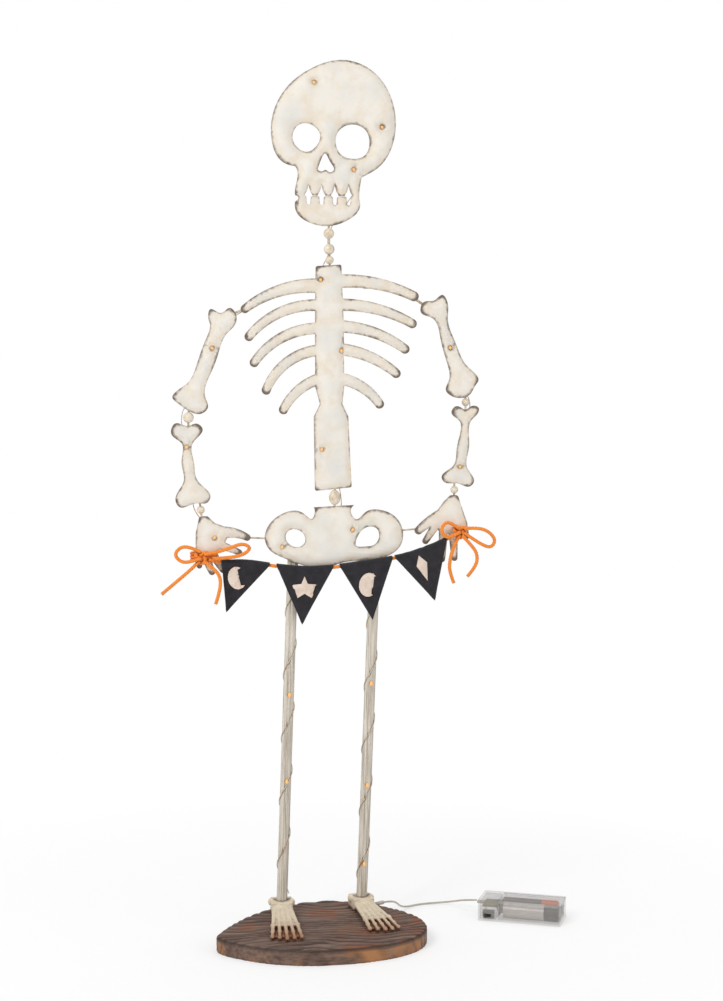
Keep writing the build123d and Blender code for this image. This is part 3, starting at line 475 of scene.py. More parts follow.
def stained_softwood():
    """Brown stain: dark in the furrows, grey where rubbed, warm orange where it pooled."""
    material, surface, place = new_material("stained_softwood")
    grain = add(material, "Mapping", {"Scale": (0.16, 1.0, 1.0), "Vector": place})
    fibres = add(material, "TexNoise", {"Scale": 1 / (1.8 * MM), "Detail": 6.0, "Roughness": 0.65,
                                        "Vector": grain})
    bands = add(material, "TexNoise", {"Scale": 1 / (9 * MM), "Detail": 3.0, "Distortion": 0.6,
                                       "Vector": grain})
    pools = add(material, "TexNoise", {"Scale": 1 / (26 * MM), "Detail": 3.0, "Vector": place})
    tone = add(material, "ValToRGB", {"Fac": bands})
    ramp = tone.color_ramp
    ramp.elements[0].position = 0.30
    ramp.elements[0].color = linear("#3E2A20")
    ramp.elements[1].position = 0.72
    ramp.elements[1].color = linear("#7C675A")
    middle = ramp.elements.new(0.5)
    middle.color = linear("#5A4034")
    fibre_share = add(material, "MapRange", {"From Min": 0.35, "From Max": 0.7, "To Max": 0.65,
                                             "Value": fibres})
    wood = add(material, "Mix", {"data_type": "RGBA", 7: linear("#94796A"), 0: fibre_share, 6: tone})
    pool_share = add(material, "MapRange", {"From Min": 0.54, "From Max": 0.68, "To Max": 0.7,
                                            "Value": pools})
    wood = add(material, "Mix", {"data_type": "RGBA", 7: linear("#8A4F2C"), 0: pool_share, 6: wood})
    height = add(material, "SeparateXYZ", {0: place})
    lip = add(material, "MapRange", {"From Min": 9.0 * MM, "From Max": 12.4 * MM,
                                     "Value": height.outputs["Z"]})
    low_share = add(material, "Math", {"operation": "SUBTRACT", 0: 1.0, 1: lip})
    bare = add(material, "MapRange", {"From Min": 0.47, "From Max": 0.68, "To Max": 0.7, "Value": pools})
    front_share = add(material, "Math", {"operation": "MULTIPLY", 0: low_share, 1: bare})
    wood = add(material, "Mix", {"data_type": "RGBA", 7: linear("#B98350"), 0: front_share, 6: wood})
    ramp_up = add(material, "MapRange", {"From Min": 13.4 * MM, "From Max": 12.6 * MM,
                                         "Value": height.outputs["Z"]})
    edge_line = add(material, "Math", {"operation": "MULTIPLY", 0: lip, 1: ramp_up})
    dark_line = add(material, "Math", {"operation": "MULTIPLY", 1: 0.8, 0: edge_line})
    wood = add(material, "Mix", {"data_type": "RGBA", 7: linear("#2A1B13"), 0: dark_line, 6: wood})
    carve = add(material, "Attribute", {"attribute_name": "carve"})
    furrows = add(material, "MapRange", {"From Min": 0.5, "From Max": 0.05, "To Min": 0.25,
                                         "Value": carve.outputs["Fac"]})
    wood = add(material, "Mix", {"data_type": "RGBA", 6: linear("#33231A"), 0: furrows, 7: wood})
    relief = add(material, "Bump", {"Strength": 0.5, "Distance": 0.3 * MM, "Height": fibres})
    feed(surface, {"Base Color": wood, "Roughness": 0.62, "Normal": relief})
    return material


slab_stain = stained_softwood()
slab = finish_piece(carved_slab(), "slab_carved", slab_stain)
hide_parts("base_slab")
print("slab has", len(slab.data.polygons), "faces")

# %% [markdown]
# ## Carved feet
# A foot is an ankle block that the leg stands in, and five thin bones that fan out and end in
# toes. Tapered rods and balls make the bones with their knuckles, a voxel remesh melts them
# into one carved piece, and a few smoothing steps take the knife marks down.

# %% Carved feet
LEG_Y = 39.95
SLAB_TOP = 14.0
FEET = {"left": {"ankle": -32.8, "length": 102.0, "turn": -4.0},
        "right": {"ankle": 39.1, "length": 92.0, "turn": 6.0}}
ANKLE_WIDTH = 20.0
TOE_SPREAD = 31.0


def tapered_rod(mesh, start, end, start_radius, end_radius):
    """A round rod between two points, thicker at one end."""
    along = end - start
    turn = along.to_track_quat("Z", "Y").to_matrix().to_4x4()
    bmesh.ops.create_cone(mesh, cap_ends=True, segments=14, radius1=start_radius, radius2=end_radius,
                          depth=along.length, matrix=Matrix.Translation((start + end) / 2) @ turn)


def ball(mesh, centre, radius, stretch=(1, 1, 1)):
    """A ball, stretched along the axes."""
    shape = Matrix.Translation(centre) @ Matrix.Diagonal((*stretch, 1))
    bmesh.ops.create_uvsphere(mesh, u_segments=16, v_segments=10, radius=radius, matrix=shape)


def foot_blank(length):
    """Ankle block, instep and five toes, in millimetres around the ankle."""
    mesh = bmesh.new()
    reach = length - 11
    bmesh.ops.create_cube(mesh, size=1, matrix=Matrix.Translation((0, 0, 5.4))
                          @ Matrix.Diagonal((ANKLE_WIDTH - 1, 20, 10.8, 1)))
    ball(mesh, Vector((0, -11, 4)), 8, (1.15, 1.0, 0.72))
    ball(mesh, Vector((-ANKLE_WIDTH / 2 + 1.5, 2, 8.6)), 3.6)
    ball(mesh, Vector((ANKLE_WIDTH / 2 - 1.5, 1, 8.2)), 3.8)
    for toe in range(5):
        share = (toe - 2) / 2
        heel = Vector((share * (ANKLE_WIDTH / 2 - 3.2), -8, 7.2 - abs(share) * 1.2))
        knuckle = Vector((share * (TOE_SPREAD / 2 - 5.2), -reach * 0.62, 4.6))
        tip = Vector((share * (TOE_SPREAD / 2 - 3.2), -reach + 5 + abs(share - 0.2) * 5, 2.6))
        joint = knuckle.lerp(tip, 0.55)
        tapered_rod(mesh, heel, knuckle, 2.3, 1.8)
        tapered_rod(mesh, knuckle, tip, 1.9, 1.5)
        ball(mesh, knuckle, 2.7, (1, 1.5, 1))
        ball(mesh, joint, 2.2, (1, 1.4, 1))
        ball(mesh, tip, 2.1, (1, 1.7, 1))
    web = [Vector((-ANKLE_WIDTH / 2 + 3, -6, 0)), Vector((ANKLE_WIDTH / 2 - 3, -6, 0)),
           Vector((TOE_SPREAD / 2 - 4, -reach + 14, 0)), Vector((-TOE_SPREAD / 2 + 4, -reach + 14, 0))]
    corners = [mesh.verts.new(point) for point in web]
    sole = mesh.faces.new(corners)
    raised = bmesh.ops.extrude_face_region(mesh, geom=[sole])["geom"]
    tops = [item for item in raised if isinstance(item, bmesh.types.BMVert)]
    for vertex in tops:
        vertex.co.z = 4.0 if vertex.co.y > -20 else 1.4
    bmesh.ops.recalc_face_normals(mesh, faces=mesh.faces)
    return mesh


def carved_foot(side, ankle, length, turn):
    """The foot's blank melted into one solid, smoothed, and set on the slab."""
    blank = finish_piece(foot_blank(length), side + "_foot_blank", plate_paint)
    mesh = remeshed(blank, 0.7)
    for _ in range(3):
        bmesh.ops.smooth_vert(mesh, verts=mesh.verts, factor=0.5, use_axis_x=True, use_axis_y=True,
                              use_axis_z=True)
    for vertex in mesh.verts:
        vertex.co += vertex.co.normalized() * noise.noise(vertex.co * 0.35) * 0.35
    bmesh.ops.bisect_plane(mesh, geom=mesh.verts[:] + mesh.edges[:] + mesh.faces[:],
                           plane_co=(0, 0, 0.1), plane_no=(0, 0, -1), clear_outer=True)
    bmesh.ops.holes_fill(mesh, edges=[edge for edge in mesh.edges if edge.is_boundary], sides=0)
    place = Matrix.Translation(Vector((ankle, LEG_Y, SLAB_TOP)) * MM)
    place = place @ Matrix.Rotation(math.radians(turn), 4, "Z") @ Matrix.Scale(MM, 4)
    bmesh.ops.transform(mesh, matrix=place, verts=mesh.verts)
    bmesh.ops.recalc_face_normals(mesh, faces=mesh.faces)
    return mesh


def stained_foot_with_painted_shade():
    """White paint over carved wood that runs out to a brown stain at the toes, with painted shade in its
    hollows.
    """
    material, surface, place = new_material("painted_carved_wood_shaded_hollows")
    patches = add(material, "TexNoise", {"Scale": 1 / (7 * MM), "Detail": 4.0, "Vector": place})
    paint = add(material, "Mix", {"data_type": "RGBA", 6: linear("#EADFCB"), 7: linear("#D2BE9E"),
                                  0: patches})
    # Painted shade: the Ambient Occlusion node darkens the paint to dark brown in the hollows between the
    # toes and where the foot meets the slab.
    depth = add(material, "AmbientOcclusion", {"samples": 8, "Distance": 7 * MM})
    hollow = add(material, "MapRange", {"From Min": 0.5, "From Max": 0.9, "Value": depth.outputs["AO"]})
    darkened_paint = add(material, "Mix", {"data_type": "RGBA", 6: linear("#5A3B2A"), 0: hollow, 7: paint})
    along = add(material, "SeparateXYZ", {0: place})
    ragged = add(material, "Math", {"operation": "MULTIPLY_ADD", 1: 0.034, 2: -0.017, 0: patches})
    shifted = add(material, "Math", {"operation": "ADD", 0: along.outputs["Y"], 1: ragged})
    toes = add(material, "MapRange", {"From Min": -6 * MM, "From Max": -46 * MM, "To Max": 0.85,
                                      "Value": shifted})
    stain = add(material, "Mix", {"data_type": "RGBA", 6: linear("#A8683C"), 7: linear("#7A4526"),
                                  0: patches})
    colour = add(material, "Mix", {"data_type": "RGBA", 0: toes, 6: darkened_paint, 7: stain})
    knife = add(material, "Bump", {"Strength": 0.4, "Distance": 0.3 * MM, "Height": patches})
    feed(surface, {"Base Color": colour, "Roughness": 0.55, "Normal": knife})
    return material


foot_paint_and_shade = stained_foot_with_painted_shade()
for side, sizes in FEET.items():
    foot = finish_piece(carved_foot(side, **sizes), side + "_foot_carved", foot_paint_and_shade)
    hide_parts(side + "_foot")
    print(foot.name, len(foot.data.polygons), "faces")

# %% [markdown]
# ## Twisted twine
# The bunting hangs on a soft orange twine of three strands. A curve carries a three-lobed
# section, and the tilt of its points grows with the distance, so the lobes wind round each
# other as real strands do. The smooth line itself is a NURBS spline through the route.

# %% Twine from a route
STRAND_PITCH = 7.5


def route_curve(name, points, steps=12):
    """A smooth NURBS line that a cord follows."""
    curve = bpy.data.curves.new(name, "CURVE")
    curve.dimensions = "3D"
    curve.resolution_u = steps
    spline = curve.splines.new("NURBS")
    spline.points.add(len(points) - 1)
    for place, point in zip(spline.points, points):
        place.co = (*point, 1)
    spline.order_u = 3
    spline.use_endpoint_u = True
    return bpy.data.objects.new(name, curve)


def line_of(points):
    """The points of the smooth line, and its length."""
    plain = route_curve("plain_line", points, 16)
    data = bpy.data.meshes.new_from_object(plain)
    line = [vertex.co.copy() for vertex in data.vertices]
    bpy.data.objects.remove(plain)
    return line, sum((b - a).length for a, b in zip(line, line[1:]))


def three_lobes(diameter):
    """A flat closed curve with three lobes: the section of a three-strand twine."""
    curve = bpy.data.curves.new("strand_section", "CURVE")
    curve.dimensions = "2D"
    spline = curve.splines.new("POLY")
    count = 18
    spline.points.add(count - 1)
    for step, place in enumerate(spline.points):
        angle = 2 * math.pi * step / count
        radius = diameter / 2 * (0.84 + 0.16 * abs(math.cos(1.5 * angle)) ** 0.7)
        place.co = (radius * math.cos(angle), radius * math.sin(angle), 0, 1)
    spline.use_cyclic_u = True
    return bpy.data.objects.new("strand_section", curve)


def twine(name, points, diameter=TWINE_DIAMETER * MM):
    """A mesh of twisted twine along a route, with the line that it follows."""
    line, length = line_of(points)
    rope = route_curve(name, points, 40)
    section = three_lobes(diameter)
    rope.data.bevel_mode = "OBJECT"
    rope.data.bevel_object = section
    rope.data.use_fill_caps = True
    travelled = 0.0
    spline = rope.data.splines[0]
    previous = points[0]
    for place, point in zip(spline.points, points):
        travelled += (Vector(point) - Vector(previous)).length
        place.tilt = 2 * math.pi * travelled / (STRAND_PITCH * MM)
        previous = point
    bpy.context.scene.collection.objects.link(rope)
    bpy.context.scene.collection.objects.link(section)
    bpy.context.view_layer.update()
    mesh = final_mesh(rope)
    bpy.data.objects.remove(section)
    bmesh.ops.remove_doubles(mesh, verts=mesh.verts, dist=0.001 * MM)
    bmesh.ops.recalc_face_normals(mesh, faces=mesh.faces)
    return mesh, line, length


def dyed_twine_with_crease_shade():
    """Dyed jute: matt, hairy, orange, with painted shade that deepens the orange in the creases between its
    strands.
    """
    material, surface, place = new_material("dyed_jute_twine_crease_shaded")
    hairs = add(material, "TexNoise", {"Scale": 1 / (0.9 * MM), "Detail": 3.0, "Roughness": 0.7,
                                       "Vector": place})
    orange = add(material, "Mix", {"data_type": "RGBA", 6: linear("#FFA040"), 7: linear("#F0800F"),
                                   0: hairs})
    # Painted shade: the Ambient Occlusion node turns the orange deeper in the creases between the strands.
    depth = add(material, "AmbientOcclusion", {"samples": 8, "Distance": 1.5 * MM})
    crease_shade = add(material, "MapRange", {"From Min": 0.45, "From Max": 0.9, "Value": depth.outputs["AO"]})
    colour = add(material, "Mix", {"data_type": "RGBA", 6: linear("#C85F10"), 0: crease_shade, 7: orange})
    fuzz = add(material, "Bump", {"Strength": 0.5, "Distance": 0.2 * MM, "Height": hairs})
    feed(surface, {"Base Color": colour, "Roughness": 0.85, "Sheen Weight": 0.25, "Normal": fuzz})
    return material


twine_dye_and_crease_shade = dyed_twine_with_crease_shade()
STRING_ROUTE = [(-97, 7.2), (-86, 4.2), (-66, 5), (-44, 1.5), (-36, 0.2), (-13, -2.4), (12, -1.2),
                (18, -0.6), (42, 2.5), (65, 5.6), (82, 9.4), (100, 15.6), (114, 21.8), (124, 27.4)]
string_points = [on_figure(x, h) for x, h in STRING_ROUTE]
string_mesh, string_line, string_length = twine("bunting_twine", string_points)
bunting_twine = finish_piece(string_mesh, "bunting_twine", twine_dye_and_crease_shade)
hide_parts("bunting_string")
print("bunting twine", round(string_length / MM), "mm")

# %% [markdown]
# ## Bows
# At each hand the twine goes three times round the fingers and is tied in a bow. Each loop
# and tail is a length of the same twine, and the knot in front is a small trefoil, the
# simplest curve that really is knotted.

# %% Bows
BOW_LOOPS = {
    "left": [[(-104, 14, 0), (-113, 18.5, 1), (-121.5, 18.8, 2), (-127, 12, 2.5), (-121, 5.5, 2.5),
              (-113, 5.5, 2), (-104, 8.5, 1.5)],
             [(-101, 12, 1), (-91, 13.5, 3.5), (-79, 17.5, 4.5), (-68, 21.5, 5), (-60.5, 17.5, 5.2),
              (-67, 11.5, 5.2), (-80, 8.8, 5), (-94, 8.6, 4.6)]],
    "right": [[(126, 31, 1), (118.5, 36.5, 2), (112, 37.5, 3.5), (108, 31, 4), (111.5, 24.4, 4.2),
               (118, 24.8, 4), (126, 28.6, 2.6)],
              [(130, 31.5, 0), (138, 32.2, 1.5), (150, 30.5, 3), (158.5, 21.5, 3.5), (154, 14, 3.5),
               (145, 17.5, 3), (137, 23, 1.5), (130, 27.5, 0)]],
}
BOW_TAILS = {
    "left": [[(-105, 6, 0), (-113, -1.5, 1.5), (-124, -10.5, 2), (-138, -22, 2.5)],
             [(-101.5, 6, 1), (-93, 0, 3.5), (-87, -8, 5.5), (-88, -20, 6.5), (-91.7, -31, 6.5)]],
    "right": [[(126, 26, 1), (119.5, 15, 2.5), (116.3, 4, 4), (115.6, -6, 4.5), (119.8, -16.5, 4.5)],
              [(128, 25.5, 1), (135, 18.2, 2.4), (141.8, 9, 3), (140.6, -2, 3.5), (132.3, -11, 3.5)]],
}
KNOTS = {"left": {"place": (-102.6, 9.6), "wrap": (-100.5, 9.2, 3.0)},
         "right": {"place": (126.5, 28.8), "wrap": (128.2, 2.2, 2.2)}}


def joined(meshes):
    """Several bmeshes as one."""
    whole = bmesh.new()
    for mesh in meshes:
        data = bpy.data.meshes.new("part_of_knot")
        mesh.to_mesh(data)
        mesh.free()
        whole.from_mesh(data)
        bpy.data.meshes.remove(data)
    return whole


TREFOIL_WIDTH = 2.0
TREFOIL_HEIGHT = 1.9
TREFOIL_DEPTH = 1.6
TREFOIL_SET_BACK = 1.4
TREFOIL_STEPS = 24
WRAP_TURNS = 3
WRAP_STEPS = 8
WRAP_HEIGHT = 8.4
WRAP_CLEARANCE = 2.4


def knot_mesh(place, wrap):
    """A trefoil in front of the fingers, and three turns of twine round them."""
    turns = []
    for step in range(TREFOIL_STEPS + 1):
        angle = 2 * math.pi * step / TREFOIL_STEPS
        x = place[0] + TREFOIL_WIDTH * (math.sin(angle) + 2 * math.sin(2 * angle))
        h = place[1] + TREFOIL_HEIGHT * (math.cos(angle) - 2 * math.cos(2 * angle))
        turns.append(on_figure(x, h, -TREFOIL_SET_BACK - TREFOIL_DEPTH * math.sin(3 * angle)))
    trefoil = twine("trefoil", turns)[0]
    middle, half_width, _ = wrap
    around = []
    steps = WRAP_TURNS * WRAP_STEPS
    for step in range(steps + 1):
        angle = 2 * math.pi * step / WRAP_STEPS
        x = middle + (half_width + WRAP_CLEARANCE) * math.cos(angle)
        h = place[1] + WRAP_HEIGHT / 2 - WRAP_HEIGHT * step / steps
        around.append(on_figure(x, h, -(3.6 if math.sin(angle) > 0 else 3.9) * math.sin(angle), FIGURE_Y))
    return joined([trefoil, twine("wrap", around)[0]])


bow_knots = {}
for side, shape in KNOTS.items():
    knot = finish_piece(knot_mesh(**shape), side + "_twine_knot", twine_dye_and_crease_shade)
    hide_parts(side + "_knot")
    bow_knots[side] = knot
    print(knot.name, len(knot.data.polygons), "faces")
for side in ("left", "right"):
    for kind, routes, far_end in (("loop", BOW_LOOPS, "object"), ("tail", BOW_TAILS, "bare")):
        for number, route in enumerate(routes[side], start=1):
            points = [on_figure(x, h, forward) for x, h, forward in route]
            name = f"{side}_bow_{kind}_{number}"
            mesh, line, length = twine(name, points)
            piece = finish_piece(mesh, name, twine_dye_and_crease_shade)
            if number == 1:
                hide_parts(f"{side}_bow_{kind}s")
            print(name, round(length / MM), "mm")

# %% [markdown]
# ## Felt pennants
# Each pennant is one triangle of black felt folded over the twine and glued behind. Rows of
# points run from the hidden hem, up the back, over the twine and down the front to the tip,
# so the fold is part of the same sheet. The felt curls a little, because it is light.

# %% Felt pennants
PENNANTS = [
    {"top": [(-86, 4.2), (-66, 7.0), (-44, 1.5)], "tip": (-81.7, -38.7), "curl": 1.6},
    {"top": [(-37.7, 0.5), (-13, -1.4), (12, -1.2)], "tip": (-15.4, -50.9), "curl": -1.2},
    {"top": [(18, -0.6), (42, 2.0), (65, 5.6)], "tip": (47.6, -48.2), "curl": 1.0},
    {"top": [(67.4, 6.2), (88, 11.6), (114, 21.8)], "tip": (103.5, -31.9), "curl": -1.8},
]
HEM_RADIUS = 2.3
HEM_DROP = 6.0
FELT_THICKNESS = 1.1
COLUMNS = 24


def along_top(top, share):
    """A point on the gentle curve through the three points of a pennant's top."""
    a, b, c = (Vector((*point, 0)) for point in top)
    bend = b * 2 - (a + c) / 2
    return a * (1 - share) ** 2 + bend * 2 * share * (1 - share) + c * share ** 2


def nearest_string(x):
    """The height of the twine at x, so the hem closes round it."""
    best = min(string_line, key=lambda point: abs(point.x - x * MM))
    return best.z / MM - HIP_Z


def pennant_mesh(top, tip, curl):
    """One sheet: hem behind, fold over the twine, face down to the tip."""
    mesh = bmesh.new()
    rows = []
    fold_steps = 7
    back_steps = 3
    front_steps = 22
    for row in range(back_steps + fold_steps + front_steps + 1):
        points = []
        for column in range(COLUMNS + 1):
            share = column / COLUMNS
            edge = along_top(top, share)
            cord_h = nearest_string(edge.x)
            if row < back_steps:
                down = HEM_DROP * (1 - row / back_steps)
                share_down = 1.2 * down / (cord_h - tip[1])
                x = edge.x + (tip[0] - edge.x) * share_down
                y, h = HEM_RADIUS - down * 0.2, cord_h - down
            elif row <= back_steps + fold_steps:
                angle = math.pi * (row - back_steps) / fold_steps
                x, y = edge.x, HEM_RADIUS * math.cos(angle)
                h = cord_h + HEM_RADIUS * math.sin(angle) * 0.9
            else:
                fall = (row - back_steps - fold_steps) / front_steps
                x = edge.x + (tip[0] - edge.x) * fall
                h = cord_h + (tip[1] - cord_h) * fall
                flutter = math.sin(math.pi * share) * curl * fall * (1.4 - fall)
                y = -HEM_RADIUS * (1 - fall) ** 2 + flutter + noise.noise(Vector((x, h, 5)) * 0.06) * fall
            points.append(mesh.verts.new(on_figure(x, h, -y)))
        rows.append(points)
    for upper, lower in zip(rows, rows[1:]):
        for column in range(COLUMNS):
            mesh.faces.new((upper[column], upper[column + 1], lower[column + 1], lower[column]))
    bmesh.ops.remove_doubles(mesh, verts=mesh.verts, dist=0.01 * MM)
    bmesh.ops.recalc_face_normals(mesh, faces=mesh.faces)
    area = sum(face.calc_area() for face in mesh.faces)
    return mesh, area


def pressed_felt(name, low, high):
    """Pressed wool felt: no weave, only short fibres that lie every way and catch dust."""
    material, surface, place = new_material(name)
    fibres = add(material, "TexNoise", {"Scale": 1 / (0.8 * MM), "Detail": 5.0, "Roughness": 0.75,
                                        "Vector": place})
    mottle = add(material, "TexNoise", {"Scale": 1 / (6 * MM), "Detail": 3.0, "Vector": place})
    mixed = add(material, "Math", {"operation": "MULTIPLY", 0: fibres, 1: mottle})
    share = add(material, "MapRange", {"From Min": 0.15, "From Max": 0.4, "Value": mixed})
    colour = add(material, "Mix", {"data_type": "RGBA", 6: linear(low), 7: linear(high), 0: share})
    nap = add(material, "Bump", {"Strength": 0.6, "Distance": 0.25 * MM, "Height": fibres})
    feed(surface, {"Base Color": colour, "Roughness": 0.95, "Sheen Weight": 0.15, "Sheen Roughness": 0.6,
                   "Normal": nap})
    return material


def thicken(piece, thickness, offset):
    """Gives a sheet its thickness: offset 0 on both sides, 1 on the front only."""
    thick = piece.modifiers.new("felt thickness", "SOLIDIFY")
    thick.thickness = thickness * MM
    thick.offset = offset


black_felt = pressed_felt("black_wool_felt", "#131116", "#29252D")
cream_felt = pressed_felt("cream_wool_felt", "#DCC6B4", "#F3E4D8")
pennant_pieces = []
for number, shape in enumerate(PENNANTS, start=1):
    mesh, area = pennant_mesh(**shape)
    pennant = finish_piece(mesh, f"pennant_felt_{number}", black_felt)
    thicken(pennant, FELT_THICKNESS, 0)
    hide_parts(f"pennant_{number}")
    pennant_pieces.append((pennant, area))
    print(pennant.name, round(area * 1e6), "square mm of felt")

# %% [markdown]
# ## Cream felt shapes
# A small shape is cut from cream felt and glued to each pennant: a moon, a star, a second
# moon and a lozenge. They are generic cut-outs, made as a flat outline that is given thickness.

# %% Cream felt shapes
MOTIF_PLACES = [(-72.5, -9), (-13.5, -19), (43.5, -17), (92.5, -3)]
MOTIF_TURNS = [14, 0, -8, 20]
SHAPE_THICKNESS = 0.9
FLAT_LENGTH_FACTOR = 1.7


def crescent(size):
    """A moon: a wide arc out, and a second arc back with its centre moved."""
    outer = [(size * math.cos(a), size * 1.25 * math.sin(a))
             for a in [math.radians(52 + 16 * step) for step in range(17)]]
    inner = [(size * 0.42 + size * 0.66 * math.cos(a), size * 0.94 * math.sin(a))
             for a in [math.radians(272 - 18.4 * step) for step in range(11)]]
    return outer + inner


def star(size):
    """A five-pointed star."""
    points = []
    for step in range(10):
        radius = size if step % 2 == 0 else size * 0.45
        angle = math.radians(90 + 36 * step)
        points.append((radius * math.cos(angle), radius * math.sin(angle)))
    return points


def lozenge(size):
    """A long lozenge with its widest place high up."""
    return [(0, size), (size * 0.42, size * 0.3), (0, -size), (-size * 0.42, size * 0.3)]


def motif_mesh(outline, place, turn, pennant):
    """A flat felt shape laid on the front of its pennant; it gets its own thickness afterwards."""
    mesh = bmesh.new()
    turn = Matrix.Rotation(math.radians(turn), 2)
    flat = [turn @ Vector(point) for point in outline]
    verts = [mesh.verts.new(on_figure(place[0] + p.x, place[1] + p.y)) for p in flat]
    face = mesh.faces.new(verts)
    if face.normal.y > 0:
        face.normal_flip()
    bmesh.ops.triangulate(mesh, faces=[face])
    cut_by_grid(mesh, 2.0)
    front = BVHTree.FromObject(pennant, bpy.context.evaluated_depsgraph_get())
    for vertex in mesh.verts:
        start = Vector((vertex.co.x, 0, vertex.co.z))
        spot = front.ray_cast(start, Vector((0, 1, 0)))[0]
        vertex.co.y = (spot.y if spot else vertex.co.y) - 0.05 * MM
    return mesh


MOTIFS = [crescent(8), star(10.5), crescent(8.5), lozenge(12)]
for number, (outline, place, turn) in enumerate(zip(MOTIFS, MOTIF_PLACES, MOTIF_TURNS), start=1):
    pennant, area = pennant_pieces[number - 1]
    motif = finish_piece(motif_mesh(outline, place, turn, pennant), f"felt_shape_{number}", cream_felt,
                         smooth=False)
    thicken(motif, SHAPE_THICKNESS, 1)
    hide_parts(f"pennant_motif_{number}")
    top = PENNANTS[number - 1]["top"]
    width = (Vector(top[2]) - Vector(top[0])).length * MM
    length = area / width * FLAT_LENGTH_FACTOR
    print(motif.name, "on a pennant", round(width / MM), "by", round(length / MM), "mm")

# %% [markdown]
# ## Lights and their wire
# The lights are tiny clear domes with a warm diode inside. They are shown lit: the middle of
# a dome glows pale and its rim deeper amber. The wire is a pair of lacquered strands, and the
# glue that holds it behind the plates is cloudy.

# %% Lights, wire and glue


def lit_dome():
    """A warm diode in clear epoxy: pale where it faces the eye, amber at its rim."""
    material, surface, place = new_material("lit_warm_epoxy")
    facing = add(material, "LayerWeight", {"Blend": 0.45})
    glow = add(material, "Mix", {"data_type": "RGBA", 6: linear("#FFD98C"), 7: linear("#F29A2E"),
                                 0: facing.outputs["Facing"]})
    feed(surface, {"Emission Color": glow, "Emission Strength": 0.62, "Base Color": linear("#C87A28"),
                   "Roughness": 0.12})
    return material


def lacquered_wire():
    """Copper strands under a pale lacquer that is rubbed through here and there."""
    material, surface, place = new_material("lacquered_copper_wire")
    rub = add(material, "TexNoise", {"Scale": 1 / (4 * MM), "Detail": 2.0, "Vector": place})
    share = add(material, "MapRange", {"From Min": 0.5, "From Max": 0.65, "Value": rub})
    colour = add(material, "Mix", {"data_type": "RGBA", 6: linear("#CFC4B0"), 7: linear("#C08A66"),
                                   0: share})
    feed(surface, {"Base Color": colour, "Roughness": 0.4, "Coat Weight": 0.4})
    return material


def cloudy_glue():
    """Hot glue: milky, soft-edged, a little shiny."""
    material, surface, place = new_material("cloudy_hot_glue")
    cloud = add(material, "TexNoise", {"Scale": 1 / (3 * MM), "Vector": place})
    colour = add(material, "Mix", {"data_type": "RGBA", 6: linear("#E4E0D6"), 7: linear("#CFC8B8"),
                                   0: cloud})
    feed(surface, {"Base Color": colour, "Roughness": 0.3, "Subsurface Weight": 0.2,
                   "Subsurface Radius": (0.002, 0.002, 0.0015)})
    return material


led_glow = lit_dome()
wire_lacquer = lacquered_wire()
glue = cloudy_glue()
for node in ("plate_leds", "leg_leds"):
    finish_node(node, led_glow)
for node in ("left_leg_wire", "right_leg_wire", "torso_wire", "left_arm_wire", "right_arm_wire"):
    finish_node(node, wire_lacquer)
finish_node("wire_tabs", glue)
print("lights finished")

# %% [markdown]
# ## Lead to the battery box
# The lead is thin soft PVC. It leaves its sleeve behind the right foot, drops over the back
# edge of the slab, lies on the floor and rises into the end of the box.

# %% Lead
LEAD_DIAMETER = 1.7
lead_start = Vector((60.3, 46.9, 15.7)) * MM
lead_end = Vector((149.6, 58.0, 10.0)) * MM
LEAD_ROUTE = [(66.5, 49.5, 15.6), (74, 57, 12.5), (80, 66, 5.5), (88, 76, 1.6), (102, 84, 1.2),
              (118, 85.5, 1.2), (131, 79, 3.5), (140.5, 67.5, 8)]
lead_points = [lead_start] + [Vector(point) * MM for point in LEAD_ROUTE] + [lead_end]


def soft_pvc(name, light, dark):
    """Moulded soft PVC: satin, faintly cloudy, grubby where it is handled."""
    material, surface, place = new_material(name)
    grime = add(material, "TexNoise", {"Scale": 1 / (8 * MM), "Detail": 4.0, "Vector": place})
    colour = add(material, "Mix", {"data_type": "RGBA", 6: linear(light), 7: linear(dark), 0: grime})
    feed(surface, {"Base Color": colour, "Roughness": 0.45, "Subsurface Weight": 0.1,
                   "Subsurface Radius": (0.001, 0.001, 0.001)})
    return material


pale_pvc = soft_pvc("soft_pale_pvc", "#CFC8BA", "#A79F90")
lead = route_curve("battery_lead", lead_points, 24)
lead.data.bevel_depth = LEAD_DIAMETER / 2 * MM
lead.data.bevel_resolution = 4
lead.data.use_fill_caps = True
lead.data.materials.append(pale_pvc)
bpy.context.scene.collection.objects.link(lead)
lead_length = line_of(lead_points)[1]
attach(lead, "figure")
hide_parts("lead_cord")
for node in ("splice_sleeve", "strain_relief"):
    finish_node(node, pale_pvc)
print("lead", round(lead_length / MM), "mm")

# %% [markdown]
# ## Battery box
# The case is moulded in smoky translucent plastic, so the cells show through its side as soft
# shapes. Each cell wears a plain printed sleeve: a silver one with a black band, and one with
# a copper band. Their pattern runs along the box, so a Mapping node turns it with the box.

# %% Battery box


def smoky_plastic():
    """Translucent polypropylene: it lets light through and scatters it."""
    material, surface, place = new_material("smoky_polypropylene")
    cloud = add(material, "TexNoise", {"Scale": 1 / (14 * MM), "Detail": 2.0, "Vector": place})
    colour = add(material, "Mix", {"data_type": "RGBA", 6: linear("#D2CECA"), 7: linear("#BDB8B4"),
                                   0: cloud})
    grain = add(material, "TexNoise", {"Scale": 1 / (0.7 * MM), "Vector": place})
    frost = add(material, "Bump", {"Strength": 0.12, "Distance": 0.1 * MM, "Height": grain})
    feed(surface, {"Base Color": colour, "Roughness": 0.18, "IOR": 1.49, "Alpha": 0.24, "Normal": frost})
    return material


